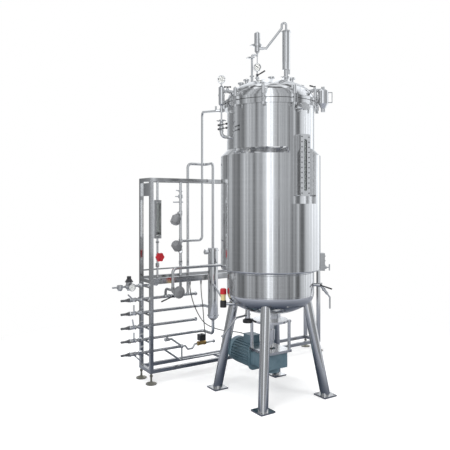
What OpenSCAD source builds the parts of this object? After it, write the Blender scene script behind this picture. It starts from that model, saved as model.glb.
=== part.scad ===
// Pilot-scale stirred bioreactor: jacketed vessel on four splayed legs,
// bottom drive, overhead exhaust line and a piping skid behind it.
// Origin on the floor under the vessel axis, +Z up, +X along the skid.

/* [Vessel] */
// Outer radius of the vessel shell
shell_r = 354; // [340:1:360]
// Wall of the shell and both heads
wall = 5; // [4:0.5:8]
// Height of the lower tangent line above the floor
base_z = 822; // [810:1:840]
// Straight length of the shell up to the body flange
shell_h = 1478; // [1450:1:1520]
// Crown radius of both heads
crown_r = 566; // [550:1:600]
// Knuckle radius of both heads
knuckle_r = 109; // [95:1:120]
// How far the flanges stand out from the shell
flange_w = 24; // [22:1:26]
// Thickness of the body flange
flange_t = 36; // [30:1:40]
// Thickness of the lid flange
lid_flange_t = 24; // [20:1:30]
// Thickness of the lid gasket
gasket_t = 4; // [3:0.5:6]
// Number of swing bolts round the flange
bolt_count = 10; // [8:1:10]

/* [Jacket] */
// Radial depth of the jacket beyond the shell
jacket_gap = 51; // [40:1:55]
// Jacket plate thickness
jacket_t = 3; // [2:0.5:4]
// Height of the jacket's lower edge above the floor
jacket_z = 1006; // [1004:1:1020]
// Distance of the jacket's upper edge below the body flange
jacket_drop = 383; // [375:1:415]
// Angle that the cut-out round the sight glass spans
cut_angle = 39; // [37:1:41]
// Height of the cut-out's lower edge above the floor
cut_z = 1536; // [1500:1:1560]

/* [Sight glass] */
// Direction of the sight glass
sight_az = -87; // [-88:1:-86]
// Width of the frame
sight_w = 100; // [90:1:110]
// Height of the frame
sight_h = 470; // [440:1:490]
// How far the frame stands out from the shell
sight_d = 50; // [45:1:55]
// Height of the frame's lower edge
sight_z = 1594; // [1580:1:1610]
// Width of the glass slot
slot_w = 30; // [24:1:36]

/* [Legs] */
// Radius of the leg tubes
leg_r = 38; // [32:1:42]
// Distance of each foot plate's centre from the axis, along X and Y
foot_x = 312; // [300:1:330]
// Distance of the leg tops from the axis, along X and Y
leg_top_x = 200; // [190:1:210]
// Side of the square foot plates
foot_side = 129; // [120:1:140]
// Thickness of the foot plates
foot_t = 12; // [10:1:16]
// Distance of each anchor hole from the foot plate's centre, along X and Y
anchor_off = 48; // [46:1:50]
// Radius of the anchor holes
anchor_r = 7; // [6:0.5:9]

/* [Agitator and drive] */
// Radius of the agitator shaft
shaft_r = 20; // [16:1:24]
// Length of the shaft above the dish
shaft_top_z = 1640; // [1500:10:1700]
// Radius of the impellers
impeller_r = 118; // [100:1:130]
// Height of each impeller
impeller_z = [930, 1260, 1590];
// Distance of the four tie rods from the axis, along X and Y
rod_x = 108; // [106:1:110]
// Radius of the tie rods
rod_r = 13; // [10:1:14]
// Height of the drive plate's upper face
plate_z = 356; // [350:1:365]
// Thickness of the drive plate
plate_t = 20; // [16:1:24]
// Width and depth of the gearbox
gearbox_w = 206; // [196:1:214]
// Radius of the motor over its fins
motor_r = 112; // [100:1:120]

/* [Skid] */
// Distance between the post centres along X
skid_l = 1920; // [1850:5:2000]
// Distance between the post centres along Y
skid_d = 200; // [190:1:215]
// Height of the skid
skid_h = 1757; // [1745:1:1780]
// Side of the square tube
tube = 30; // [26:1:32]
// Height of the middle rails
mid_rail_h = 50; // [40:1:55]
// Height of the middle rails' centre
mid_z = 872; // [865:1:880]
// X of the left posts
skid_x = -735; // [-745:1:-725]
// Y of the front posts
skid_y = 700; // [695:1:710]
// Height of the posts' lower end above the floor
foot_h = 90; // [80:1:100]

/* [Piping] */
// Outer radius of the one-inch pipes
pipe_r = 12.7; // [12:0.1:13.2]
// Wall of the nozzles and pipes
pipe_w = 1.6; // [1.2:0.1:2.5]
// Bend radius of the pipes
bend_r = 38; // [30:1:42]
// Height of each service pipe, from the top down
service_z = [714, 598, 478, 364, 251];
// Height of the gas inlet line
gas_z = 832; // [828:1:834]
// Height of the loop pipe that feeds the sparger
loop_z = 988; // [984:1:990]
// Height of the hairpin pipe's top
hairpin_z = 1900; // [1850:5:1950]
// Ferrule radius of the hygienic joints
ferrule_r = 25; // [24:0.5:27]

/* [Overhead] */
// Length of the condenser's shell, its cone included
condenser_h = 263; // [240:1:280]
// Radius of the condenser shell
condenser_r = 33; // [28:1:36]
// Radius of the exhaust filter housing
filter_r = 25; // [22:1:28]
// Height of the exhaust filter's lower end over the lid's flange
filter_rise = 423; // [405:1:440]
// Length of the exhaust filter
filter_h = 163; // [150:1:180]

/* [Hidden] */
$fn = 48;

STEEL = [0.78, 0.79, 0.81];
SATIN = [0.66, 0.68, 0.70];
TEAL = [0.33, 0.47, 0.50];
DARK = [0.12, 0.12, 0.13];
RED = [0.75, 0.12, 0.20];

eps = 0.01;          // overlap that joins the solids of one piece
run = 0.05;          // radial running clearance of shafts and stems
gap = 0.4;           // axial clearance under levers and knobs
weld_gap = 0.3;      // gap between the shell and what is welded round it

// heights up the vessel
flange_r = shell_r + flange_w;
flange_z = base_z + shell_h;
flange_top = flange_z + flange_t;
lid_z = flange_top + gasket_t;
lid_top = lid_z + lid_flange_t;
jacket_r = shell_r + jacket_gap;
jacket_top = flange_z - jacket_drop;
filter_low = lid_top + filter_rise;
condenser_low = filter_low - 100;
condenser_top = condenser_low + condenser_h;
seal_r = 60;         // radius of the seal housing's spigot through the dish
seal_pad_w = 22;     // pad round that spigot, and its depth under the dish
seal_pad_h = 20;
front_az = -123;     // direction that gauges and levers face
bolt_az = -64;       // direction of the first swing bolt
ear_r = flange_r + 22;
ear_w = 36;
bolt_r = 8;
nut_r = 14;

// ---------- general helpers ----------

function unit(v) = v / norm(v);
function polar(az, r, z) = [r * cos(az), r * sin(az), z];
function arc(c, r, a0, a1, n) =
  [for (i = [0:n]) let (a = a0 + (a1 - a0) * i / n) c + r * [cos(a), sin(a)]];
function turn_angle(a, b) = acos(min(1, max(-1, a * b)));

module orient(v) {
  rotate([0, acos(v.z / norm(v)), atan2(v.y, v.x)]) children();
}

// puts local +Z along n and local +X along m, at p
module place(p, n, m) {
  x = unit(m);
  z = unit(n);
  y = cross(z, x);
  multmatrix([
    [x.x, y.x, z.x, p.x],
    [x.y, y.y, z.y, p.y],
    [x.z, y.z, z.z, p.z],
    [0, 0, 0, 1]
  ]) children();
}

module at_polar(az, r, z) {
  rotate([0, 0, az]) translate([r, 0, z]) children();
}

module rod(p, q, r) {
  translate(p) orient(q - p) cylinder(r = r, h = norm(q - p));
}

module ring2d(r, w) {
  difference() {
    circle(r = r);
    circle(r = r - w);
  }
}

module ring(r, inner, h) {
  linear_extrude(height = h) ring2d(r, r - inner);
}

// a bent pipe through the given points; its elbows are a little thicker, as fittings are
module pipe_run(pts, r = pipe_r, bend = bend_r, step = 0.4) {
  last = len(pts) - 1;
  trims = [for (i = [0:last])
    (i == 0 || i == last) ? 0
      : bend * tan(turn_angle(unit(pts[i] - pts[i - 1]), unit(pts[i + 1] - pts[i])) / 2)];
  for (i = [0:last - 1]) {
    d = unit(pts[i + 1] - pts[i]);
    lap = [i > 0 ? 1 : 0, i < last - 1 ? 1 : 0];
    rod(pts[i] + d * (trims[i] - lap[0]), pts[i + 1] - d * (trims[i + 1] - lap[1]), r);
  }
  for (i = [1:1:last - 1]) {
    a = unit(pts[i] - pts[i - 1]);
    b = unit(pts[i + 1] - pts[i]);
    turn = turn_angle(a, b);
    centre = pts[i] + unit(b - a) * bend / cos(turn / 2);
    x = unit(pts[i] - a * trims[i] - centre);
    z = cross(x, a);
    multmatrix([
      [x.x, a.x, z.x, centre.x],
      [x.y, a.y, z.y, centre.y],
      [x.z, a.z, z.z, centre.z],
      [0, 0, 0, 1]
    ]) rotate_extrude(angle = turn) translate([bend, 0]) circle(r = r + step);
  }
}

// polygon points of a rectangle with rounded corners
function round_rect(w, d, r, n = 4) = [
  for (c = [[w / 2 - r, d / 2 - r, 0], [r - w / 2, d / 2 - r, 90],
            [r - w / 2, r - d / 2, 180], [w / 2 - r, r - d / 2, 270]])
    for (p = arc([c.x, c.y], r, c.z, c.z + 90, n)) p
];

// ---------- dished heads ----------

crown_drop = sqrt(pow(crown_r - knuckle_r, 2) - pow(shell_r - knuckle_r, 2));
tangent_a = acos((shell_r - knuckle_r) / (crown_r - knuckle_r));
head_h = crown_r - crown_drop;

// height of the head's outer face above its tangent line, at radius r on the crown
function head_at(r) = sqrt(crown_r * crown_r - r * r) - crown_drop;

// outer face from the rim to radius r0, drawn upwards, t inside the true face
function head_points(r0, t) = concat(
  arc([shell_r - knuckle_r, 0], knuckle_r - t, 0, tangent_a, 9),
  [for (p = arc([0, -crown_drop], crown_r - t, tangent_a, acos(r0 / (crown_r - t)), 13))
    if (p.x < (shell_r - knuckle_r) + (knuckle_r - t) * cos(tangent_a) - 0.1) p]
);
function reversed(pts) = [for (i = [len(pts) - 1:-1:0]) pts[i]];
function flipped(pts, z) = [for (p = pts) [p.x, z - p.y]];
function raised(pts, z) = [for (p = pts) [p.x, z + p.y]];

// solid under the outer face of the bottom head, for cutting what is welded to it
module bottom_head_solid() {
  rotate_extrude($fn = 96)
    polygon(concat([[0, base_z + 200]], [[shell_r, base_z + 200]],
      flipped(head_points(0.01, 0), base_z)));
}

module nozzle(az, z, r, from_r, to_r) {
  at_polar(az, from_r, z) rotate([0, 90, 0]) cylinder(r = r, h = to_r - from_r);
}

// ---------- vessel ----------

side_az = 165;       // valve stack on the upper left of the shell
side_z = flange_z - 234;
side_r = flange_r + 42;      // radius at which the stack and the air filter stand
front_nozzle_az = -88;
front_nozzle_z = flange_z - 26;
front_nozzle_r = shell_r + 50;
sample_az = -40;
sample_z = 880;
sample_face = shell_r + 30;
air_nozzle_y = shell_r + 86;
drain_az = 152;
drain_r = 187;
drain_top = 640;
baffle_w = 55;
relief_face = shell_r - 10;  // radius at which the relief nozzle ends

module vessel_shell() {
  color(STEEL) difference() {
    union() {
      rotate_extrude($fn = 96) polygon(concat(
        reversed(flipped(head_points(seal_r, 0), base_z)),
        [[shell_r, flange_z], [flange_r, flange_z], [flange_r, flange_top],
         [shell_r - wall, flange_top]],
        flipped(head_points(seal_r, wall), base_z)
      ));
      for (k = [0:bolt_count - 1]) ear(k, flange_z, flange_t);
      nozzle(side_az, side_z, pipe_r, shell_r - wall / 2, side_r - bend_r);
      nozzle(front_nozzle_az, front_nozzle_z, 19, shell_r - wall / 2, front_nozzle_r - 4);
      at_polar(front_nozzle_az, front_nozzle_r - 6, front_nozzle_z)
        rotate([0, 90, 0]) cylinder(r = ferrule_r, h = 6);
      nozzle(sample_az, sample_z, pipe_r, shell_r - wall / 2, sample_face);
      nozzle(90, loop_z, pipe_r, shell_r - wall / 2, air_nozzle_y);
      at_polar(drain_az, drain_r, drain_top) cylinder(r = 19, h = 52);
      // pad under the dish that the seal housing is clamped to
      translate([0, 0, base_z - head_h - seal_pad_h]) difference() {
        cylinder(r = seal_r + seal_pad_w, h = seal_pad_h + 6.5);
        translate([0, 0, -1]) cylinder(r = seal_r, h = seal_pad_h + 8);
      }
      nozzle(relief_az, relief_z + 28, pipe_r, shell_r - 90, relief_face);
      for (k = [0:3]) rotate([0, 0, 45 + 90 * k])
        translate([shell_r - wall - baffle_w, -2, base_z])
          cube([baffle_w + 1, 4, shell_h - 300]);
    }
    nozzle(side_az, side_z, pipe_r - pipe_w, shell_r - 2 * wall, side_r);
    nozzle(front_nozzle_az, front_nozzle_z, 17, shell_r - 2 * wall, front_nozzle_r + 1);
    nozzle(sample_az, sample_z, pipe_r - pipe_w, shell_r - 2 * wall, sample_face + 1);
    nozzle(90, loop_z, pipe_r - pipe_w, shell_r - 2 * wall, air_nozzle_y + 1);
    at_polar(drain_az, drain_r, drain_top - 1) cylinder(r = 17, h = 60);
    nozzle(relief_az, relief_z + 28, pipe_r - pipe_w, shell_r - 110, relief_face + 1);
    sight_slot();
  }
}

module ear(k, z, h) {
  rotate([0, 0, bolt_az + 360 / bolt_count * k]) difference() {
    translate([flange_r - 6, -ear_w / 2, z]) cube([ear_r - flange_r + 6, ear_w, h]);
    translate([flange_r + 2, -bolt_r - 1, z - 1]) cube([ear_r, 2 * bolt_r + 2, h + 2]);
  }
}

cock_z = jacket_z + 10;
cock_az = -33;
pad_d = 36;
pad_h = 142;
cock_face = jacket_r + pad_d + 18;
corner = 14;
module jacket() {
  seat = shell_r + weld_gap;
  color(STEEL) difference() {
    union() {
      difference() {
        rotate_extrude($fn = 96) polygon(concat(
          [[seat, jacket_z]],
          arc([jacket_r - corner, jacket_z + corner], corner, -90, 0, 5),
          [[jacket_r, jacket_top], [seat, jacket_top + jacket_gap],
           [seat, jacket_top + jacket_gap - 1.4 * jacket_t],
           [jacket_r - jacket_t, jacket_top - 0.4 * jacket_t]],
          arc([jacket_r - corner, jacket_z + corner], corner - jacket_t, 0, -90, 5),
          [[seat, jacket_z + jacket_t]]
        ));
        cut_wedge(0);
      }
      // closing bars round the cut-out
      intersection() {
        rotate_extrude($fn = 96) polygon([
          [seat, jacket_z], [jacket_r, jacket_z], [jacket_r, jacket_top],
          [seat, jacket_top + jacket_gap]
        ]);
        difference() {
          cut_wedge(jacket_t);
          cut_wedge(0);
        }
      }
      // pad of the drain cock, with its bolts
      rotate([0, 0, cock_az]) {
        intersection() {
          translate([jacket_r - 20, -34, cock_z - 25]) cube([pad_d + 20, 68, pad_h]);
          translate([0, 0, cock_z - 30]) difference() {
            cylinder(r = jacket_r + pad_d + 40, h = pad_h + 20);
            translate([0, 0, -1]) cylinder(r = jacket_r - 1, h = pad_h + 30, $fn = 96);
          }
        }
        translate([jacket_r + pad_d - 1, 0, cock_z]) rotate([0, 90, 0]) cylinder(r = 12, h = 19);
        for (z = [18, 56, 94]) for (s = [-1, 1])
          translate([jacket_r + pad_d - 1, 22 * s, cock_z + z]) rotate([0, 90, 0]) cylinder(r = 5, h = 7);
      }
    }
    rotate([0, 0, cock_az]) translate([cock_face - stem_l - 1, 0, cock_z]) rotate([0, 90, 0])
      cylinder(r = stem_r + run, h = stem_l + 2);
  }
}

// sector outside the shell that the cut-out takes away, grown by t on its sides and foot
module cut_wedge(t) {
  half = cut_angle / 2 + atan(t / jacket_r);
  far = jacket_r / cos(half) + 20;
  translate([0, 0, cut_z - t]) linear_extrude(height = jacket_top + 200 - cut_z + t) polygon([
    [0, 0], polar2(sight_az - half, far), polar2(sight_az + half, far)
  ]);
}
function polar2(az, r) = [r * cos(az), r * sin(az)];

// ---------- lid ----------

port_a = polar2(132, 245);
port_b = polar2(129, 201);
port_d = polar2(-3, 219);
port_e = polar2(-20, 270);
port_hub = [45, 43];
condenser_xy = [130, -45];
filter_xy = [-69, 86];
outlet_xy = [-105, 110];
lid_valve_xy = filter_xy;
// position, height above the dome, radius of the tube
lid_ports = [
  [port_a, 44, 14], [port_b, 52, 14], [port_d, 84, 17], [port_e, 34, 14], [port_hub, 40, 16],
  [condenser_xy, 46, 17], [outlet_xy, 60, 11], [lid_valve_xy, 34, 11]
];
blank_ports = [0, 1, 2, 3, 4];
CONDENSER = 5;
OUTLET = 6;
LID_VALVE = 7;
lid_nozzle_z = lid_top + 66;
lid_nozzle_face = shell_r - 8;
trap_az = -57;

function port_foot(p) = lid_top + head_at(norm(p));
function port_ferrule(i) = min(ferrule_r, lid_ports[i][2] + 8);
function port_top(i) = port_foot(lid_ports[i][0]) + lid_ports[i][1];
function at_top(i) = [lid_ports[i][0].x, lid_ports[i][0].y, port_top(i)];

module lid() {
  color(STEEL) difference() {
    union() {
      rotate_extrude($fn = 96) polygon(concat(
        [[shell_r - wall, lid_z], [flange_r, lid_z], [flange_r, lid_top]],
        raised(head_points(0.01, 0), lid_top),
        [[0, lid_top + head_h], [0, lid_top + head_h - wall]],
        reversed(raised(head_points(0.01, wall), lid_top))
      ));
      for (k = [0:bolt_count - 1]) ear(k, lid_z, lid_flange_t);
      for (i = [0:len(lid_ports) - 1]) lid_port(i);
      for (az = [side_az, trap_az])
        nozzle(az, lid_nozzle_z, pipe_r, shell_r - 60, lid_nozzle_face);
    }
    for (p = lid_ports)
      translate([p[0].x, p[0].y, port_foot(p[0]) - 30]) cylinder(r = p[2] - 2, h = p[1] + 31);
    for (az = [side_az, trap_az])
      nozzle(az, lid_nozzle_z, pipe_r - pipe_w, shell_r - 80, lid_nozzle_face + 1);
  }
}

module lid_port(i) {
  p = lid_ports[i];
  translate([p[0].x, p[0].y, port_foot(p[0]) - 8]) cylinder(r = p[2], h = p[1] + 8);
  translate([p[0].x, p[0].y, port_top(i) - 5]) cylinder(r = port_ferrule(i), h = 5);
}

module lid_gasket() {
  color(DARK) translate([0, 0, flange_top]) ring(flange_r - 8, shell_r - wall + 1, gasket_t);
}

module swing_bolts() {
  color(SATIN) for (k = [0:bolt_count - 1])
    at_polar(bolt_az + 360 / bolt_count * k, flange_r + 2 + bolt_r + 1, 0) {
      translate([0, 0, flange_z - 20]) cylinder(r = bolt_r, h = lid_top + 24 - flange_z);
      translate([0, 0, flange_z - 20]) cylinder(r = nut_r, h = 20);
      translate([0, 0, lid_top]) cylinder(r = nut_r + 3, h = 5);
      translate([0, 0, lid_top + 4]) cylinder(r = nut_r, h = 58);
      translate([0, 0, lid_top + 62 - eps]) cylinder(r1 = nut_r, r2 = 6, h = 9);
    }
}

// ---------- sight glass ----------

pane_t = 12;
pane_ledge = 6;
module sight_outline(w, h, n = 6) {
  polygon(round_rect(h, w, w / 2 - 0.01, n));
}

module sight_frame() {
  face = shell_r + sight_d;
  color(STEEL) rotate([0, 0, sight_az]) difference() {
    intersection() {
      translate([shell_r - 30, 0, sight_z + sight_h / 2]) rotate([0, 90, 0])
        linear_extrude(height = sight_d + 30) polygon(round_rect(sight_h, sight_w, 12));
      difference() {
        translate([0, -sight_w, sight_z - 1]) cube([face, 2 * sight_w, sight_h + 2]);
        translate([0, 0, sight_z - 2]) cylinder(r = shell_r + weld_gap, h = sight_h + 4, $fn = 96);
      }
    }
    translate([face - 14 - pane_t, 0, sight_z + sight_h / 2]) rotate([0, 90, 0])
      linear_extrude(height = 60) sight_outline(slot_w, sight_h - 74);
    rotate([0, 0, -sight_az]) sight_slot();
  }
}

// slot behind the pane, through the frame and the shell's wall
module sight_slot() {
  rotate([0, 0, sight_az]) translate([shell_r - 40, 0, sight_z + sight_h / 2])
    rotate([0, 90, 0]) linear_extrude(height = sight_d + 40 - 20)
      sight_outline(slot_w - 2 * pane_ledge, sight_h - 74 - 2 * pane_ledge);
}

module sight_pane() {
  color([0.2, 0.22, 0.24])
    rotate([0, 0, sight_az]) translate([shell_r + sight_d - 14 - pane_t, 0, sight_z + sight_h / 2])
      rotate([0, 90, 0]) linear_extrude(height = pane_t) sight_outline(slot_w, sight_h - 74);
}

// ---------- legs ----------

module legs() {
  color(STEEL) for (sx = [-1, 1]) for (sy = [-1, 1]) {
    foot = [sx * foot_x, sy * foot_x, foot_t - eps];
    top = [sx * leg_top_x, sy * leg_top_x, base_z];
    difference() {
      union() {
        intersection() {
          rod(foot - (top - foot) * 0.1, top, leg_r);
          translate([-600, -600, foot_t - eps]) cube([1200, 1200, base_z + 100]);
        }
        translate([foot.x - foot_side / 2, foot.y - foot_side / 2, 0])
          cube([foot_side, foot_side, foot_t]);
      }
      translate([0, 0, -2 * weld_gap]) bottom_head_solid();
      translate([foot.x + sx * anchor_off, foot.y + sy * anchor_off, -1])
        cylinder(r = anchor_r, h = foot_t + 2);
    }
  }
}

// ---------- agitator and drive ----------

gearbox_top = plate_z - plate_t;
gearbox_h = 124;
shaft_foot = gearbox_top - 70;
motor_z = gearbox_top - 80;
motor_y0 = gearbox_w / 2 + 42;
motor_y1 = 486;
seal_low = 576;

module agitator_shaft() {
  color(STEEL) {
    translate([0, 0, shaft_foot]) cylinder(r = shaft_r, h = shaft_top_z - shaft_foot);
    translate([0, 0, 430]) cylinder(r = shaft_r + 18, h = 80);
  }
}

module impellers() {
  blade_w = 60;
  blade_h = 48;
  color(STEEL) for (z = impeller_z) translate([0, 0, z]) difference() {
    union() {
      cylinder(r = impeller_r * 0.72, h = 5);
      translate([0, 0, -22]) cylinder(r = shaft_r + 14, h = 48);
      for (k = [0:5]) rotate([0, 0, 60 * k])
        translate([impeller_r - blade_w, -2, 2.5 - blade_h / 2]) cube([blade_w, 4, blade_h]);
    }
    translate([0, 0, -30]) cylinder(r = shaft_r, h = 70);
  }
}

sparger_r = 105;
sparger_z = 792;
module sparger() {
  tube_r = 8;
  color(STEEL) {
    translate([0, 0, sparger_z]) rotate_extrude() translate([sparger_r, 0]) circle(r = tube_r);
    rod([0, sparger_r, sparger_z], [0, 250, sparger_z], tube_r);
    rod([0, 250, sparger_z - tube_r], [0, 250, loop_z + pipe_r], tube_r + 1);
    rod([0, 250, loop_z], [0, shell_r - wall - 0.2, loop_z], pipe_r - pipe_w - 1);
  }
}

module seal_housing() {
  dish_low = base_z - head_h;
  color(SATIN) difference() {
    union() {
      // spigot through the dish, clamped under it
      translate([0, 0, dish_low - seal_pad_h - 2]) cylinder(r = seal_r - 0.5, h = seal_pad_h + 20);
      translate([0, 0, seal_low]) cylinder(r = seal_r + seal_pad_w, h = dish_low - seal_pad_h - seal_low);
      translate([0, 0, seal_low]) cylinder(r = 143, h = 18);
      for (sx = [-1, 1]) for (sy = [-1, 1]) translate([sx * rod_x, sy * rod_x, seal_low])
        cylinder(r = rod_r + 5, h = 18);
    }
    translate([0, 0, seal_low - 1]) cylinder(r = shaft_r + run, h = dish_low + 60 - seal_low);
  }
}

module drive_frame() {
  half = rod_x + rod_r + 6;
  color(STEEL) {
    for (sx = [-1, 1]) for (sy = [-1, 1]) translate([sx * rod_x, sy * rod_x, plate_z - eps])
      cylinder(r = rod_r, h = seal_low - plate_z + eps);
    translate([0, 0, plate_z - plate_t]) difference() {
      linear_extrude(height = plate_t) polygon(round_rect(2 * half, 2 * half, 10));
      translate([0, 0, -1]) cylinder(r = shaft_r + 24, h = plate_t + 2);
    }
  }
}

module gearbox() {
  color(TEAL) difference() {
    union() {
      translate([0, 0, gearbox_top - gearbox_h]) linear_extrude(height = gearbox_h)
        polygon(round_rect(gearbox_w, gearbox_w, 16));
      translate([0, 0, gearbox_top - gearbox_h - 40]) cylinder(r = 76, h = 41);
      translate([0, gearbox_w / 2 - 1, motor_z]) rotate([-90, 0, 0])
        linear_extrude(height = motor_y0 - gearbox_w / 2 + 1) polygon(round_rect(184, 112, 12));
    }
    translate([0, 0, shaft_foot - 10]) cylinder(r = shaft_r + run, h = 200);
  }
}

fan_l = 70;
box_y = motor_y0 + 60;
box_l = 110;
box_top = motor_z + motor_r + 50;
module motor() {
  fins = 28;
  fin_l = motor_y1 - fan_l - motor_y0 - 16;
  pitch = 360 / fins;
  color(TEAL) {
    translate([0, motor_y0, motor_z]) rotate([-90, 0, 0]) {
      linear_extrude(height = 16) polygon(round_rect(2 * motor_r - 12, 2 * motor_r - 12, 40, 6));
      translate([0, 0, 16 - eps]) linear_extrude(height = fin_l + 2 * eps)
        polygon([for (k = [0:fins - 1])
          for (p = [[-0.3, motor_r - 14], [-0.14, motor_r], [0.14, motor_r], [0.3, motor_r - 14]])
            p.y * [cos(pitch * (k + p.x)), sin(pitch * (k + p.x))]]);
      translate([0, 0, 16 + fin_l]) cylinder(r = motor_r - 4, h = fan_l - 16);
      translate([0, 0, fin_l + fan_l - eps]) cylinder(r1 = motor_r - 4, r2 = motor_r - 22, h = 16);
    }
    // terminal box with the cable's gland
    translate([0, box_y + box_l / 2, motor_z + motor_r - 30])
      linear_extrude(height = box_top - motor_z - motor_r + 30) polygon(round_rect(100, box_l, 10));
    last = motor_cable_route[len(motor_cable_route) - 1];
    translate([last.x, box_y + box_l - 1, last.z]) rotate([-90, 0, 0])
      cylinder(r = 10, h = last.y - box_y - box_l + 1);
  }
}

// ---------- overhead line ----------

clamp_h = 12;        // height of a tri-clamp ring
clamp_gap = 0.2;     // radial gap between a ring and the ferrules it holds
filter_clamp_z = filter_low + 52;
outlet_joint = filter_low - 50;
outlet_ferrule = 17;
exhaust_r = 10;
exhaust_top = condenser_top + 74;
exhaust_port_z = filter_low + 28;
filter_port = 52;    // reach of the filter's side port from its axis
view_left = [-0.836, 0.549, 0];
filter_foot = filter_low - 10;
gauge_boss_z = filter_foot - 33;
gauge_stem_r = 4;

// clamp ring round two ferrules, with its swing bolt and wing nut along local +X
module tri_clamp(r = ferrule_r) {
  difference() {
    translate([0, 0, -clamp_h / 2]) cylinder(r = r + 7, h = clamp_h);
    translate([0, 0, -clamp_h]) cylinder(r = r + clamp_gap, h = 2 * clamp_h);
  }
  wing_nut(r);
}

module wing_nut(r) {
  translate([r + 5, -4, -5]) cube([16, 8, 10]);
  translate([r + 16, 22, 0]) rotate([90, 0, 0]) cylinder(r = 3.5, h = 42);
  translate([r + 8, -20, -3]) cube([20, 6, 6]);
}

module blank_cap(r) {
  cylinder(r = r, h = 5);
  difference() {
    translate([0, 0, -7]) cylinder(r = r + 5, h = 11);
    translate([0, 0, -8]) cylinder(r = r + clamp_gap, h = 8);
  }
  translate([0, 0, 5 - eps]) cylinder(r = 5, h = 7);
}

module pipe_clamps() {
  color(SATIN) {
    for (i = blank_ports) translate(at_top(i)) blank_cap(port_ferrule(i));
    translate(at_top(CONDENSER)) rotate([0, 0, 200]) tri_clamp();
    translate([condenser_xy.x, condenser_xy.y, condenser_top]) {
      rotate([0, 0, -123]) tri_clamp(condenser_r);
      rotate([0, 0, 57]) wing_nut(condenser_r);
    }
    translate([filter_xy.x, filter_xy.y, filter_clamp_z]) rotate([0, 0, 165])
      tri_clamp(filter_r + 6);
    translate([outlet_xy.x, outlet_xy.y, outlet_joint]) rotate([0, 0, 165])
      tri_clamp(outlet_ferrule);
    at_polar(front_nozzle_az, front_nozzle_r, front_nozzle_z) rotate([0, 90, 0]) {
      blank_cap(ferrule_r);
      rotate([0, 0, 90]) wing_nut(ferrule_r);
    }
  }
}

module condenser() {
  foot = port_top(CONDENSER);
  color(STEEL) translate([condenser_xy.x, condenser_xy.y, 0]) {
    translate([0, 0, foot]) cylinder(r = ferrule_r, h = 5);
    translate([0, 0, foot + 4]) cylinder(r = 19, h = condenser_low - foot - 3);
    translate([0, 0, condenser_low]) cylinder(r1 = 19, r2 = condenser_r, h = 14);
    translate([0, 0, condenser_low + 14 - eps])
      cylinder(r = condenser_r, h = condenser_h - 14 + eps);
    // coolant pipe beside the neck
    rotate([0, 0, -33]) {
      translate([condenser_r - 8, 0, foot + 30]) cylinder(r = 8, h = condenser_low - foot - 20);
      translate([0, 0, foot + 38]) rotate([0, 90, 0]) cylinder(r = 6, h = condenser_r - 8);
    }
  }
}

module exhaust_line() {
  top = [condenser_xy.x, condenser_xy.y, condenser_top];
  over = top + view_left * 36;
  fall = [over.x, over.y, condenser_top + 32];
  port = [filter_xy.x, filter_xy.y, exhaust_port_z] - view_left * filter_port;
  near = port - view_left * 22;
  foot = [filter_xy.x, filter_xy.y, filter_foot];
  down = [outlet_xy.x, outlet_xy.y, outlet_joint];
  color(STEEL) {
    // over the top of the condenser and down to the filter's side
    translate(top) cylinder(r = condenser_r, h = 5);
    translate(top + [0, 0, 4]) cylinder(r1 = condenser_r - 6, r2 = exhaust_r + 2, h = 18);
    rod(top + [0, 0, 20], [top.x, top.y, exhaust_top - 17], exhaust_r);
    translate([(top.x + over.x) / 2, (top.y + over.y) / 2, exhaust_top - 18])
      rotate([90, 0, atan2(view_left.y, view_left.x)]) rotate_extrude(angle = 180)
        translate([18, 0]) circle(r = exhaust_r + 0.4);
    rod([over.x, over.y, exhaust_top - 17], fall, exhaust_r);
    translate(fall) sphere(r = exhaust_r + 0.4);
    rod(fall, near, exhaust_r);
    translate(near) sphere(r = exhaust_r + 0.4);
    rod(near, port, exhaust_r);
    // boss over the lid's gauge
    translate([foot.x, foot.y, gauge_boss_z]) cylinder(r = gauge_stem_r + 2, h = 16);
    // from the filter's foot to the lid
    pipe_run([foot, foot - [0, 0, 20], down + [0, 0, 26], down], exhaust_r - 1, 14);
    translate(down - [0, 0, 5]) cylinder(r = outlet_ferrule, h = 10);
    rod(down - [0, 0, 4], at_top(OUTLET) + [0, 0, 4], exhaust_r - 1);
    translate(at_top(OUTLET)) cylinder(r = port_ferrule(OUTLET), h = 5);
  }
}

air_filter_r = 23;
air_filter_h = 158;
air_filter_z = lid_top - 52;
module filter_housings() {
  port = [filter_xy.x, filter_xy.y, exhaust_port_z];
  color(STEEL) {
    // exhaust filter over the lid
    translate([filter_xy.x, filter_xy.y, 0]) {
      translate([0, 0, filter_foot]) cylinder(r1 = 12, r2 = filter_r - 3, h = filter_low - filter_foot);
      translate([0, 0, filter_low - eps]) cylinder(r = filter_r - 3, h = 50);
      translate([0, 0, filter_low + 40]) cylinder(r = filter_r + 6, h = 24);
      translate([0, 0, filter_low + 63]) cylinder(r = filter_r, h = filter_h - 75);
      translate([0, 0, filter_low + filter_h - 12 - eps]) cylinder(r1 = filter_r, r2 = 12, h = 12);
    }
    rod(port, port - view_left * filter_port, exhaust_r + 3);
    // inlet air filter beside the flange
    translate(polar(side_az, side_r, air_filter_z)) {
      cylinder(r1 = 12, r2 = air_filter_r, h = 12);
      translate([0, 0, 12 - eps]) cylinder(r = air_filter_r, h = air_filter_h - 24);
      translate([0, 0, air_filter_h - 12 - 2 * eps]) cylinder(r1 = air_filter_r, r2 = 9, h = 12);
      translate([0, 0, 76]) cylinder(r = air_filter_r + 3, h = 12);
    }
    nozzle(side_az, lid_nozzle_z, pipe_r, lid_nozzle_face + 2 * lid_valve_half, side_r);
  }
}

// ---------- valve sizes and places ----------

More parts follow.
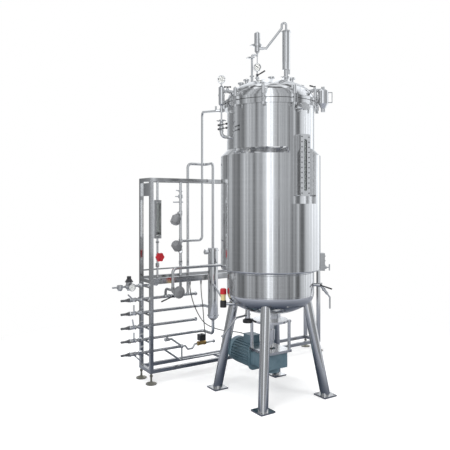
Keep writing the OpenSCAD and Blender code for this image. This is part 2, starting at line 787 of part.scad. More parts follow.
stem_r = 5;          // radius of every valve stem
stem_l = 13;         // length of the stem inside its bonnet
bonnet_h = 26;       // height of a bonnet over the pipe's axis
valve_half = 30;     // half the length of the service valves
lid_valve_half = 23; // half the length of the valves beside the lid
inlet_valve_x = -863;
inlet_y = skid_y + skid_d / 2;
union_x = skid_x - 60;
regulator_x = -895;
bypass_x = -490;
lever_angles = [135, 90, 100, 90, -45];
front_dir = [cos(front_az), sin(front_az), 0];
right_dir = [-sin(front_az), cos(front_az), 0];
lid_valve_foot = at_top(LID_VALVE);
lid_valve_top = lid_valve_foot + [0, 0, 36];
lid_valve_mid = lid_valve_foot + [0, 0, 20];

// ---------- gauges ----------

gauge_r = 32;
gauge_stem_l = 55;   // from the lid gauge's rim to the boss over it
lid_gauge_z = gauge_boss_z - gauge_r - gauge_stem_l;
air_gauge_z = air_filter_z + air_filter_h + 50;
gauge_reach = 54;
gauge_places = [
  [[filter_xy.x, filter_xy.y, lid_gauge_z], front_az],
  [polar(side_az, side_r, air_gauge_z), front_az],
  [[regulator_x, inlet_y - gauge_reach, gas_z], -90]
];

module gauge_place(i) {
  g = gauge_places[i];
  place(g[0], [cos(g[1]), sin(g[1]), 0], [-sin(g[1]), cos(g[1]), 0]) children();
}

module gauge_case() {
  difference() {
    translate([0, 0, -12]) cylinder(r = gauge_r, h = 26);
    translate([0, 0, 10]) cylinder(r = gauge_r - 4, h = 10);
  }
}

module gauge_cases() {
  color(SATIN) {
    for (i = [0:2]) gauge_place(i) gauge_case();
    rod(gauge_places[0][0], lid_valve_top, 6);
    rod(gauge_places[0][0] + [0, 0, gauge_r - 4], [filter_xy.x, filter_xy.y, gauge_boss_z], gauge_stem_r);
    rod(gauge_places[1][0], polar(side_az, side_r, air_filter_z + air_filter_h), 6);
    rod(gauge_places[2][0] + [0, 6, 0], gauge_places[2][0] + [0, gauge_reach - 29, 0], 7);
  }
}

// ---------- valves ----------

// blind hole that a stem turns in, its mouth at height h
module bonnet(r, h) {
  difference() {
    cylinder(r = r, h = h);
    translate([0, 0, h - stem_l - 1]) cylinder(r = stem_r + run, h = stem_l + 2);
  }
}

// straight ball valve along local X with its bonnet along local +Z
module ball_valve(half = valve_half, r = 17) {
  difference() {
    union() {
      rotate([0, 90, 0]) translate([0, 0, 8 - half]) cylinder(r = r, h = 2 * half - 16);
      for (s = [-1, 1]) translate([s * (half - 5) - 5, 0, 0]) rotate([0, 90, 0])
        cylinder(r = r + 3, h = 10, $fn = 6);
      cylinder(r = 10, h = bonnet_h);
    }
    translate([0, 0, bonnet_h - stem_l - 1]) cylinder(r = stem_r + run, h = stem_l + 2);
  }
}

// lever on a bonnet: local Z is the stem's axis, the arm lies along +X
module lever(l, grip = 44, grip_r = 6) {
  translate([0, 0, -stem_l]) cylinder(r = stem_r, h = stem_l + gap + 1);
  translate([0, 0, gap]) cylinder(r = 9, h = 7);
  translate([4, -5, gap + 1]) cube([l - 10, 10, 4]);
  translate([l - grip, 0, gap + 3]) rotate([0, 90, 0]) cylinder(r = grip_r, h = grip);
}

module lid_valves() {
  color(SATIN) {
    translate(lid_valve_foot) cylinder(r = port_ferrule(LID_VALVE), h = 5);
    difference() {
      union() {
        translate(lid_valve_foot + [0, 0, 4]) cylinder(r = 12, h = 32);
        place(lid_valve_mid, front_dir, right_dir) cylinder(r = 9, h = bonnet_h);
      }
      place(lid_valve_mid, front_dir, right_dir)
        translate([0, 0, bonnet_h - stem_l - 1]) cylinder(r = stem_r + run, h = stem_l + 2);
    }
    // valves between the lid's side nozzles and what hangs beside the flange
    for (az = [side_az, trap_az])
      at_polar(az, lid_nozzle_face + lid_valve_half, lid_nozzle_z) ball_valve(lid_valve_half, 14);
  }
}

stack_p = polar(side_az, side_r, 0);
stack_low = side_z + bend_r;
stack_top = stack_low + 97;
stack_levers = [stack_low + 20, stack_low + 52];
stack_axis = [cos(side_az + 20), sin(side_az + 20), 0];
stack_lever_dir = [cos(side_az + 110), sin(side_az + 110), 0];

module side_stack() {
  color(SATIN) difference() {
    union() {
      pipe_run([polar(side_az, side_r - bend_r, side_z), polar(side_az, side_r, side_z),
        stack_p + [0, 0, stack_low + 10]], pipe_r, bend_r - 3);
      translate(stack_p + [0, 0, stack_low]) cylinder(r = 16, h = 70);
      translate(stack_p + [0, 0, stack_low + 33]) cylinder(r = 20, h = 6);
      translate(stack_p + [0, 0, stack_low + 70 - eps]) cylinder(r1 = 16, r2 = 10, h = 14);
      translate(stack_p + [0, 0, stack_low + 83]) {
        cylinder(r = 19, h = 14);
        for (a = [110, 290]) rotate([0, 0, a]) translate([0, 0, 7]) wing_nut(12);
      }
      for (z = stack_levers) place(stack_p + [0, 0, z], stack_axis, stack_lever_dir)
        cylinder(r = 9, h = bonnet_h);
    }
    for (z = stack_levers) place(stack_p + [0, 0, z], stack_axis, stack_lever_dir)
      translate([0, 0, bonnet_h - stem_l - 1]) cylinder(r = stem_r + run, h = stem_l + 2);
  }
}

sample_pivot = polar(sample_az, sample_face + 22, sample_z);
// point on the line of the sample valve's inclined part
function sample_at(t) = polar(sample_az, sample_face + 22 + 0.6 * t, sample_z - 0.8 * t);
sample_seat = 90;    // length of the sample valve's inclined part
sample_bend = 122;   // where its spout turns down, on the same line
sample_drop = 92;    // how far the spout hangs
sample_axis = [cos(sample_az - 90), sin(sample_az - 90), 0];
drain_low = drain_top - 34;
drain_hose = [-318, 34, drain_top - 8];
drain_hose_end = [-409, 89, 487];

module vessel_outlets() {
  color(SATIN) {
    // sample valve: straight body, then an inclined seat and a spout
    difference() {
      union() {
        nozzle(sample_az, sample_z, 17, sample_face, sample_face + 34);
        place(sample_pivot, sample_axis, [0, 0, 1]) cylinder(r = 11, h = bonnet_h);
        rod(sample_at(0), sample_at(sample_seat), 12);
        rod(sample_at(36), sample_at(49), 17);
      }
      place(sample_pivot, sample_axis, [0, 0, 1])
        translate([0, 0, bonnet_h - stem_l - 1]) cylinder(r = stem_r + run, h = stem_l + 2);
    }
    pipe_run([sample_at(sample_seat - 10), sample_at(sample_bend), sample_at(sample_bend) - [0, 0, sample_drop]],
      7, 20);
    // drain valve under the dish, its handwheel below
    translate(polar(drain_az, drain_r, drain_top - 5)) cylinder(r = ferrule_r, h = 5);
    difference() {
      translate(polar(drain_az, drain_r, drain_low)) cylinder(r = 21, h = drain_top - 4 - drain_low);
      translate(polar(drain_az, drain_r, drain_low - 1)) cylinder(r = stem_r + run, h = stem_l + 2);
    }
    pipe_run([polar(drain_az, drain_r, drain_top - 9), drain_hose, drain_hose_end], 8, 24);
    rod(drain_hose_end - unit(drain_hose_end - drain_hose), drain_hose_end + unit(drain_hose_end - drain_hose) * 6, 14);
  }
}

needle_y = skid_y + 40;
needle_z = 1077;
needle_reach = 34;
union_h = 28;
rota_x = -657;

module line_valves() {
  color(SATIN) {
    for (z = service_z) place([inlet_valve_x, inlet_y, z], [0, -1, 0], [1, 0, 0]) ball_valve();
    place([bypass_x, inlet_y, service_z[0]], [0, -1, 0], [1, 0, 0]) ball_valve();
    regulator_body();
    // needle valve under the rotameter
    difference() {
      translate([rota_x, needle_y, needle_z]) {
        translate([0, 0, -26]) cylinder(r = 13, h = 52);
        rotate([90, 0, 0]) cylinder(r = 10, h = needle_reach);
      }
      translate([rota_x, needle_y - needle_reach - 1, needle_z]) rotate([-90, 0, 0])
        cylinder(r = stem_r + run, h = stem_l + 2);
    }
    // branch valve under the fourth service pipe
    translate([-534, inlet_y, service_z[3] - 34]) {
      cylinder(r = 8, h = 34 - pipe_r);
      rotate([0, 90, 0]) translate([0, 0, -22]) cylinder(r = 15, h = 44);
    }
  }
}

knob_z = gas_z + 38;
module regulator_body() {
  tip = 149;
  translate([regulator_x, inlet_y, gas_z]) {
    rotate([0, 90, 0]) translate([0, 0, -24]) cylinder(r = 22, h = 48);
    translate([0, 0, -34]) cylinder(r = 17, h = 34);
    difference() {
      cylinder(r = 26, h = knob_z - gas_z);
      translate([0, 0, knob_z - gas_z - stem_l - 1]) cylinder(r = stem_r + run, h = stem_l + 2);
    }
    translate([-82, 0, -30]) cylinder(r1 = 15, r2 = 24, h = 14);
    translate([-82, 0, -16 - eps]) cylinder(r = 24, h = 32);
    rotate([0, -90, 0]) cylinder(r = 9, h = tip - 34);
    rotate([0, -90, 0]) cylinder(r = 7, h = tip);
    rotate([0, 90, 0]) cylinder(r = 10, h = union_x - union_h / 2 - regulator_x);
    rotate([90, 0, 0]) cylinder(r = 7, h = gauge_reach - 25);
  }
}

module lid_valve_lever() {
  arm = right_dir * cos(31) + [0, 0, sin(31)];
  color(DARK) place(lid_valve_mid + front_dir * bonnet_h, front_dir, arm) lever(72, 40, 6);
}

module air_valve_handle() {
  pivot = polar(side_az, lid_nozzle_face + lid_valve_half, lid_nozzle_z + bonnet_h);
  color(DARK) place(pivot, [0, 0, 1], right_dir) {
    translate([0, 0, -stem_l]) cylinder(r = stem_r, h = stem_l + gap + 10);
    translate([-24, 0, gap + 9]) rotate([0, 90, 0]) cylinder(r = 4.5, h = 48);
    for (s = [-1, 1]) translate([s * 22, 0, gap + 9]) sphere(r = 7);
  }
}

module stack_lever(z) {
  color(DARK) place(stack_p + [0, 0, z] + stack_axis * bonnet_h, stack_axis, stack_lever_dir) {
    translate([0, 0, -stem_l]) cylinder(r = stem_r, h = stem_l + gap + 1);
    translate([0, 0, gap]) cylinder(r = 8, h = 7);
    translate([0, 0, gap + 3.5]) rotate([0, 90, 0]) cylinder(r = 3.5, h = 100);
    translate([102, 0, gap + 3.5]) sphere(r = 9);
  }
}
module side_lever_upper() { stack_lever(stack_levers[1]); }
module side_lever_lower() { stack_lever(stack_levers[0]); }

module trap_valve_lever() {
  pivot = polar(trap_az, lid_nozzle_face + lid_valve_half, lid_nozzle_z + bonnet_h);
  color(DARK) place(pivot, [0, 0, 1], [cos(trap_az - 115), sin(trap_az - 115), 0]) lever(58, 34, 6);
}

module sample_lever() {
  arm = polar(sample_az, cos(-18), sin(-18));
  color(DARK) place(sample_pivot + sample_axis * bonnet_h, sample_axis, arm) lever(92, 50, 6);
}

module cock_handle() {
  color(SATIN) rotate([0, 0, cock_az]) translate([cock_face, 0, cock_z]) {
    rotate([0, 90, 0]) translate([0, 0, -stem_l]) cylinder(r = stem_r, h = stem_l + gap + 28);
    translate([gap + 24, 0, -26]) cylinder(r = 6, h = 52);
  }
}

module drain_handwheel() {
  color(DARK) translate(polar(drain_az, drain_r, drain_low)) {
    translate([0, 0, -gap - 10]) cylinder(r = stem_r, h = gap + 10 + stem_l);
    translate([0, 0, -gap - 14]) cylinder(r1 = 38, r2 = 16, h = 14);
    translate([0, 0, -gap - 36]) cylinder(r = 40, h = 22 + eps);
  }
}

module inlet_lever(k) {
  a = lever_angles[k - 1];
  color(SATIN) place([inlet_valve_x, inlet_y - bonnet_h, service_z[k - 1]], [0, -1, 0],
    [cos(a), 0, sin(a)]) lever(76, 46, 6);
}
module inlet_lever_1() { inlet_lever(1); }
module inlet_lever_2() { inlet_lever(2); }
module inlet_lever_3() { inlet_lever(3); }
module inlet_lever_4() { inlet_lever(4); }
module inlet_lever_5() { inlet_lever(5); }

module bypass_lever() {
  color(DARK) place([bypass_x, inlet_y - bonnet_h, service_z[0]], [0, -1, 0],
    [-cos(18), 0, -sin(18)]) lever(120, 60, 6);
}

module regulator_knob() {
  color(DARK) translate([regulator_x, inlet_y, knob_z]) {
    translate([0, 0, -stem_l]) cylinder(r = stem_r, h = stem_l + gap + 1);
    translate([0, 0, gap]) cylinder(r1 = 36, r2 = 20, h = 26);
    translate([0, 0, gap + 26 - eps]) cylinder(r = 18, h = 22);
  }
}

module red_handwheel() {
  color(RED) translate([rota_x, needle_y - needle_reach, needle_z]) rotate([90, 0, 0]) {
    translate([0, 0, -stem_l]) cylinder(r = stem_r, h = stem_l + gap + 1);
    translate([0, 0, gap]) cylinder(r = 12, h = 8);
    translate([0, 0, gap + 6]) linear_extrude(height = 14)
      polygon([for (k = [0:47]) let (a = 7.5 * k) (37 + 3 * cos(6 * a)) * [cos(a), sin(a)]]);
  }
}

// ---------- air line to the filter ----------

line_y = skid_y + 40;   // plane of the pipes that stand behind the front rails
down_x = -206;
down_top = lid_top + 6;
down_tee_z = air_filter_z - 37;
air_x = -430;
air_branch_z = 1205;
cross_z = 1600;      // height of the air line's cross with its T handles
rail_z = skid_h - tube / 2;
act_z = [1453, 1117];
act_r = 41;
act_dir = [[-49, -10, -105], [-60, -10, 73]];
act_foot = [[air_x - 46, line_y - 40, act_z[0]], [air_x - 30, line_y - 54, act_z[1]]];

module downcomer() {
  tee = polar(side_az, side_r, down_tee_z);
  color(STEEL) {
    translate([tee.x, tee.y, stack_top]) cylinder(r = 6, h = down_tee_z - 14 - stack_top);
    translate(tee - [0, 0, 15]) cylinder(r = 16, h = 30);
    translate(tee + [0, 0, 14]) cylinder(r = 10, h = 23);
    rod(tee, tee + view_left * 44, 9);
    rod(tee + view_left * 44 - [0, 0, 10], tee + view_left * 44 + [0, 0, 34], 7);
    pipe_run([tee, [down_x, line_y, down_top], [down_x, line_y, air_branch_z],
      [air_x + 20, line_y, air_branch_z]], 11, bend_r);
  }
}

// short bracket from the front rail's back face to a pipe behind it
module rail_bracket(x, z, w = 24) {
  translate([x - w / 2, skid_y + tube / 2, z - 12]) cube([w, line_y - skid_y - tube / 2, 24]);
}

module air_line() {
  c = [air_x, line_y, 0];
  color(STEEL) {
    pipe_run([c + [0, 0, rail_z], c + [0, 0, service_z[0]],
      [air_x, inlet_y - pipe_r - 3, service_z[0]]], pipe_r, 34);
    rail_bracket(air_x, rail_z);
    for (z = [-54, 38]) translate(c + [0, 0, cross_z + z]) cylinder(r = 18, h = 12);
    translate(c + [0, 0, cross_z - 16]) cylinder(r = 21, h = 32);
    for (b = [[0, -58, 0], [50, -50, 54]])
      rod(c + [0, 0, cross_z + b.x], c + [b.y, -12, cross_z + b.z], 5);
    rod(c + [-80, -14, cross_z - 50], c + [26, 8, cross_z - 50], 6);
    for (z = concat(act_z, [air_branch_z])) translate(c + [0, 0, z - 20]) cylinder(r = 17, h = 40);
    rod(c + [10, 0, air_branch_z], c + [20, 0, air_branch_z], 14);
    for (i = [0, 1]) rod(c + [0, 0, act_z[i]], act_foot[i], 12);
    translate(c + [0, 0, 1000]) cylinder(r = 18, h = 30, $fn = 6);
  }
}

module actuators() {
  color([0.42, 0.43, 0.45]) for (i = [0, 1]) translate(act_foot[i]) orient(act_dir[i]) {
    translate([0, 0, 13]) cylinder(r = 20, h = 10);
    translate([0, 0, 23 - eps]) cylinder(r1 = 26, r2 = act_r, h = 14);
    translate([0, 0, 37 - 2 * eps]) cylinder(r = act_r, h = 56);
    translate([0, 0, 93 - 3 * eps]) cylinder(r1 = act_r, r2 = act_r - 14, h = 14);
  }
}

// ---------- rotameter ----------

rota_low = 1236;
rota_h = 332;
glass_r = 17;
glass_t = 2.5;
rota_end = 24;
gas_r = 9;

module rotameter_body() {
  top = rota_low + rota_h;
  color(STEEL) translate([rota_x, line_y, 0]) {
    for (z = [rota_low, top - rota_end]) translate([-26, -24, z]) cube([52, 48, rota_end]);
    for (s = [-1, 1]) translate([s * 23 - 3, -24, rota_low + rota_end - eps])
      cube([6, 48, rota_h - 2 * rota_end + 2 * eps]);
    translate([0, 0, top - eps]) cylinder(r = 11, h = rail_z + 10 - top);
    translate([0, 0, needle_z + 26]) cylinder(r = gas_r, h = rota_low - needle_z - 26 + eps);
    translate([0, 0, 1196]) cylinder(r = 16, h = 14, $fn = 6);
    translate([0, 0, 1022]) cylinder(r = gas_r, h = needle_z - 26 - 1022);
  }
  color(STEEL) rail_bracket(rota_x, rail_z);
}

module rotameter_tube() {
  color([0.7, 0.74, 0.76, 0.5]) translate([rota_x, line_y, rota_low + rota_end])
    linear_extrude(height = rota_h - 2 * rota_end) ring2d(glass_r, glass_t);
}

module rotameter_float() {
  color(DARK) translate([rota_x, line_y, rota_low + rota_end + 4]) {
    cylinder(r1 = 4, r2 = glass_r - glass_t - 1, h = 16);
    translate([0, 0, 16 - eps]) cylinder(r = glass_r - glass_t - 1, h = 8);
  }
}

// ---------- heat exchanger and its hairpin ----------

hx = [-156, 635];
hx_r = 45;
hx_low = 513;
hx_h = 625;
hx_foot = hx_low - 26;
hx_nozzle_y = hx.y + 66;
leg_x = -322;
relief_xy = [-322, 211] * (shell_r + 31) / 385;
relief_az = atan2(relief_xy.y, relief_xy.x);
relief_z = 690;      // lower end of the relief valve
relief_mid = [relief_xy.x, relief_xy.y, relief_z + 62];
relief_rise = 68;    // rise of the relief pipe to the heat exchanger
relief_end = [hx.x, hx.y, relief_mid.z + relief_rise];
relief_port = relief_end + unit(relief_mid - relief_end) * 74;

module heat_exchanger() {
  top = hx_low + hx_h;
  color(STEEL) {
    translate([hx.x, hx.y, hx_low]) cylinder(r = hx_r, h = hx_h);
    translate([hx.x, hx.y, hx_foot]) cylinder(r1 = 15, r2 = hx_r, h = hx_low - hx_foot + eps);
    for (z = [hx_low + 16, top - 26]) translate([hx.x, hx.y, z]) cylinder(r = hx_r + 7, h = 10);
    // small valve at the upper left
    rod([hx.x, hx.y, top - 34], [hx.x - 96, hx.y - 8, top - 34], 11);
    rod([hx.x - 66, hx.y - 5, top - 34], [hx.x - 90, hx.y - 8, top - 34], 20);
    rod([hx.x - 92, hx.y - 8, top - 52], [hx.x - 92, hx.y - 8, top - 8], 6);
    // bracket to the front middle rail
    translate([hx.x - 14, hx.y, mid_z - 15]) cube([28, skid_y - tube / 2 - hx.y, 30]);
    // service nozzle
    rod([hx.x, hx.y, service_z[1]], [hx.x, hx_nozzle_y, service_z[1]], 16);
    // welded stub that the relief pipe ends on
    rod(relief_end, relief_port, 13);
    pipe_run([[hx.x, hx.y, top - 1], [hx.x, hx.y, hairpin_z], [hx.x + 31, inlet_y, hairpin_z],
      [leg_x, inlet_y, hairpin_z], [leg_x, inlet_y, service_z[0] + pipe_r + 4]]);
  }
}

// ---------- loop to the sparger ----------

loop_y = 575;
loop_left = -594;
reg_c = [-548, loop_y, 785];
reg_in = reg_c.z + 45;
reg_r = 52;

module loop_pipe() {
  color(STEEL) pipe_run([[0, air_nozzle_y, loop_z], [0, loop_y, loop_z],
    [loop_left, loop_y, loop_z], [loop_left, loop_y, reg_in]]);
}

module pressure_regulator() {
  pipe_top = service_z[0] + pipe_r + 4;
  color([0.5, 0.52, 0.55]) {
    pipe_run([[loop_left, loop_y, reg_in], [loop_left, loop_y, reg_c.z], reg_c], 15, 22);
    translate(reg_c) rotate([90, 0, 0]) {
      translate([0, 0, -26]) cylinder(r = 27, h = 40);
      translate([0, 0, 8]) cylinder(r1 = 27, r2 = reg_r, h = 12);
      translate([0, 0, 20 - eps]) cylinder(r = reg_r, h = 12);
      translate([0, 0, 32 - 2 * eps]) cylinder(r1 = reg_r - 5, r2 = 22, h = 16);
    }
    pipe_run([reg_c, [reg_c.x, inlet_y, reg_c.z], [reg_c.x, inlet_y, pipe_top]], 11, 34);
    translate([reg_c.x, 640, reg_c.z]) rotate([-90, 0, 0]) cylinder(r = 18, h = 22, $fn = 6);
  }
}

// ---------- relief valve ----------

module relief_valve() {
  r = norm(relief_xy);
  color(DARK) {
    translate([relief_xy.x, relief_xy.y, relief_z]) {
      cylinder(r = 26, h = 50);
      translate([0, 0, 50 - eps]) cylinder(r1 = 26, r2 = 20, h = 8);
      translate([0, 0, 58 - 2 * eps]) cylinder(r = 20, h = 44);
      translate([0, 0, 100]) cylinder(r = 24, h = 8);
      translate([0, 0, 108 - eps]) cylinder(r = 26, h = 38);
      translate([0, 0, 146 - 2 * eps]) cylinder(r1 = 26, r2 = 18, h = 8);
    }
    nozzle(relief_az, relief_z + 28, pipe_r, relief_face, r - 10);
    rod(relief_mid, relief_port, 9);
  }
}

// ---------- solenoid valve and cables ----------

sol_x = -178;
sol_body = 84;
module solenoid_valve() {
  c = [sol_x, inlet_y, service_z[4]];
  color(DARK) translate(c) {
    rotate([0, 90, 0]) translate([0, 0, -sol_body / 2]) cylinder(r = 17, h = sol_body);
    for (s = [-1, 1]) translate([s * (sol_body / 2 - 8) - 8, 0, 0]) rotate([0, 90, 0])
      cylinder(r = 21, h = 16, $fn = 6);
    translate([0, 0, 10]) cylinder(r = 13, h = 20);
    translate([-30, -27, 26]) cube([60, 54, 54]);
    translate([0, 0, 79]) cylinder(r = 9, h = 8);
    translate([0, -20, 53]) rotate([90, 0, 0]) cylinder(r = 7, h = 15);
  }
}

cable_r = 4;
// the motor's cable: from the middle rail, through the skid, to the terminal box
motor_cable_route = [
  [-357, 700, 837], [-357, 700, 790], [-342, 707, 730], [-318, 722, 670], [-290, 734, 612],
  [-258, 744, 556], [-222, 752, 502], [-184, 757, 456], [-140, 755, 420], [-96, 735, 396],
  [-60, 690, 382], [-32, 620, 380], [-12, 540, 386], [-2, 460, 394], [0, 390, 398], [0, 341, 398]
];
// the solenoid's cable: from the middle rail down to its coil
solenoid_cable_route = [
  [-243, 700, 837], [-243, 700, 790], [-237, 705, 735], [-226, 712, 675], [-214, 719, 615],
  [-204, 726, 555], [-196, 732, 495], [-189, 734, 435], [-184, 732, 380], [-180, 728, 340],
  [-178, 732, 314], [-178, 745, 304], [-178, 765, 304]
];

function spline(a, b, c, d, t) = 0.5 * (2 * b + (c - a) * t + (2 * a - 5 * b + 4 * c - d) * t * t
  + (3 * b - a - 3 * c + d) * t * t * t);
function smooth(pts, n) = concat(
  [for (i = [0:len(pts) - 2]) for (j = [0:n - 1])
    spline(pts[max(i - 1, 0)], pts[i], pts[i + 1], pts[min(i + 2, len(pts) - 1)], j / n)],
  [pts[len(pts) - 1]]);

// round cord swept along the points, with its end faces square to the two end stretches
module cord(route, r, sides = 8, n = 4) {
  p = smooth(route, n);
  last = len(p) - 1;
  ref = [1, 0, 0.6];
  rings = [for (i = [0:last]) let (
    t = i == 0 ? unit(route[1] - route[0])
      : i == last ? unit(route[len(route) - 1] - route[len(route) - 2])
      : unit(p[i + 1] - p[i - 1]),
    x = unit(cross(t, ref)),
    y = cross(t, x))
    for (k = [0:sides - 1]) p[i] + r * (x * cos(360 * k / sides) + y * sin(360 * k / sides))];
  polyhedron(
    points = rings,
    faces = concat(
      [[for (k = [sides - 1:-1:0]) k]],
      [for (i = [0:last - 1]) for (k = [0:sides - 1]) let (
        a = i * sides + k, b = i * sides + (k + 1) % sides) [a, b, b + sides]],
      [for (i = [0:last - 1]) for (k = [0:sides - 1]) let (
        a = i * sides + k, b = i * sides + (k + 1) % sides) [a, b + sides, a + sides]],
      [[for (k = [0:sides - 1]) last * sides + k]]
    ));
}

module motor_cable() { color(DARK) cord(motor_cable_route, cable_r); }
module solenoid_cable() { color(DARK) cord(solenoid_cable_route, cable_r); }

// ---------- foam trap ----------

trap_r = 42;
trap_at = flange_r + trap_r + 16;
trap_z = flange_z - 20;
module foam_trap() {
  color(STEEL) {
    translate(polar(trap_az, trap_at, trap_z)) {
      translate([0, 0, -24]) cylinder(r = 18, h = 24 + eps);
      cylinder(r1 = 18, r2 = trap_r, h = 38);
      translate([0, 0, 38 - eps]) cylinder(r = trap_r, h = 100);
      translate([0, 0, 138 - 2 * eps]) cylinder(r1 = trap_r, r2 = 18, h = 16);
      translate([0, 0, 150]) cylinder(r = 14, h = 22);
      // bracket handle on the outer side
      rotate([0, 0, trap_az + 20]) {
        for (z = [46, 124]) translate([trap_r - 4, -6, z]) cube([34, 12, 6]);
        translate([trap_r + 24, -6, 46]) cube([6, 12, 84]);
      }
    }
    nozzle(trap_az, lid_nozzle_z, pipe_r, lid_nozzle_face + 2 * lid_valve_half, trap_at);
  }
}

// ---------- skid ----------

post_z = [foot_h + tube / 2, mid_z, rail_z];
skid_x2 = skid_x + skid_l;
skid_y2 = skid_y + skid_d;

module bar(p, size) {
  translate(p - size / 2) cube(size);
}

module skid_ends() {
  w = skid_d - tube + 2 * eps;
  color(SATIN) {
    for (x = [skid_x, skid_x2]) {
      for (y = [skid_y, skid_y2])
        translate([x - tube / 2, y - tube / 2, foot_h]) cube([tube, tube, skid_h - foot_h]);
      for (z = post_z) bar([x, inlet_y, z], [tube, w, tube]);
    }
    // carriers under the service pipes, and the plate over them
    for (z = concat([for (s = service_z) s - pipe_r], [gas_z - exhaust_r]))
      bar([skid_x, inlet_y, z - 5], [16, w, 10]);
    bar([skid_x, inlet_y, 1658], [3, w, 112]);
  }
}

drain_rail_z = 128;
module skid_rails() {
  l = skid_l - tube;
  mid_x = skid_x + skid_l / 2;
  color(SATIN) {
    for (y = [skid_y, skid_y2]) {
      bar([mid_x, y, post_z[0]], [l, tube, tube]);
      bar([mid_x, y, post_z[1]], [l, tube, mid_rail_h]);
      bar([mid_x, y, post_z[2]], [l, tube, tube]);
    }
    // conduit along the back, over the middle rail
    translate([skid_x + tube / 2, skid_y2, mid_z + 78]) rotate([0, 90, 0]) cylinder(r = 7, h = l);
    // clips that the two cables leave
    for (r = [motor_cable_route, solenoid_cable_route])
      translate(r[0]) cylinder(r = 8, h = mid_z - mid_rail_h / 2 - r[0].z + eps);
    // cross members between the bottom rails
    for (x = [0, 600]) bar([x, inlet_y, post_z[0]], [20, skid_d - tube + 2 * eps, 20]);
  }
}

module levelling_feet() {
  color([0.55, 0.50, 0.40]) for (x = [skid_x, skid_x2]) for (y = [skid_y, skid_y2])
    translate([x, y, 0]) {
      cylinder(r = 46, h = 8);
      translate([0, 0, 8 - eps]) cylinder(r1 = 30, r2 = 12, h = 14);
      translate([0, 0, 20]) cylinder(r = 9, h = foot_h - 20);
      translate([0, 0, foot_h - 26]) cylinder(r = 15, h = 12, $fn = 6);
    }
}

// ---------- service pipes ----------

inlet_start = inlet_valve_x + valve_half;
third_end = -247;
tee_x = -385;

module pipe_union(x, z, r) {
  translate([x - union_h / 2, inlet_y, z]) rotate([0, 90, 0]) cylinder(r = r, h = union_h, $fn = 6);
}

module inlet_pipes() {
  y = inlet_y;
  z = service_z;
  color(STEEL) {
    // first pipe, broken by its bypass valve, with a saddle for each branch
    rod([inlet_start, y, z[0]], [bypass_x - valve_half, y, z[0]], pipe_r);
    rod([bypass_x + valve_half, y, z[0]], [third_end, y, z[0]], pipe_r);
    for (x = [reg_c.x, leg_x]) translate([x, y, z[0]]) cylinder(r = 17, h = pipe_r + 4);
    translate([air_x, y, z[0]]) rotate([90, 0, 0]) cylinder(r = 17, h = pipe_r + 3);
    // second pipe, round to the heat exchanger's side
    pipe_run([[inlet_start, y, z[1]], [hx.x, y, z[1]], [hx.x, hx_nozzle_y, z[1]]]);
    rod([inlet_start, y, z[2]], [third_end, y, z[2]], pipe_r);
    // fourth pipe, round to the heat exchanger's foot
    pipe_run([[inlet_start, y, z[3]], [hx.x, y, z[3]], [hx.x, hx.y, z[3]], [hx.x, hx.y, hx_foot]]);
    // fifth pipe, its tee and the curl to the solenoid valve
    rod([inlet_start, y, z[4]], [tee_x, y, z[4]], pipe_r);
    translate([tee_x, y, z[4]]) sphere(r = 19);
    pipe_run([[tee_x, y, z[4]], [tee_x + 36, y, z[4]], [tee_x + 62, y, z[4] - 36],
      [tee_x + 110, y, z[4] - 36], [tee_x + 136, y, z[4]], [sol_x - sol_body / 2, y, z[4]]], 8, 16);
    rod([sol_x + sol_body / 2, y, z[4]], [-40, y, z[4]], 10);
    translate([-52, y, z[4]]) rotate([0, 90, 0]) cylinder(r = 16, h = 14, $fn = 6);
    // branch from the fourth pipe's valve, and the drain along the bottom rails
    pipe_run([[-534 + 22, y, z[3] - 34], [-534 + 46, y, z[3] - 34], [tee_x, y, z[4]]], 9, 12);
    pipe_run([[-566, y, z[4]], [-400, y, drain_rail_z], [12, y, drain_rail_z]], 9, 30);
    rod([tee_x, y, z[4]], [tee_x, y, drain_rail_z], 7);
    for (x = [third_end]) for (i = [0, 2]) translate([x - 2, y, z[i]]) rotate([0, 90, 0])
      cylinder(r = 17, h = 16, $fn = 6);
    for (s = z) pipe_union(union_x, s, 20);
  }
  color(STEEL) {
    // gas inlet, round and up to the rotameter
    pipe_union(union_x, gas_z, 17);
    pipe_run([[union_x, y, gas_z], [rota_x, y, gas_z], [rota_x, line_y, gas_z],
      [rota_x, line_y, 992]], gas_r, 26);
    translate([rota_x, line_y, 990]) cylinder(r = 18, h = 32, $fn = 6);
  }
}

module hose_spigots() {
  tip = inlet_valve_x - valve_half;
  color([0.35, 0.36, 0.37]) for (z = service_z) translate([tip, inlet_y, z]) rotate([0, -90, 0])
    difference() {
      union() {
        cylinder(r = 17, h = 14, $fn = 6);
        translate([0, 0, 13]) cylinder(r = 10, h = 62);
        translate([0, 0, 16]) cylinder(r1 = 10, r2 = 13, h = 10);
        translate([0, 0, 26 - eps]) cylinder(r = 13, h = 3);
      }
      translate([0, 0, -1]) cylinder(r = 7, h = 80);
    }
}

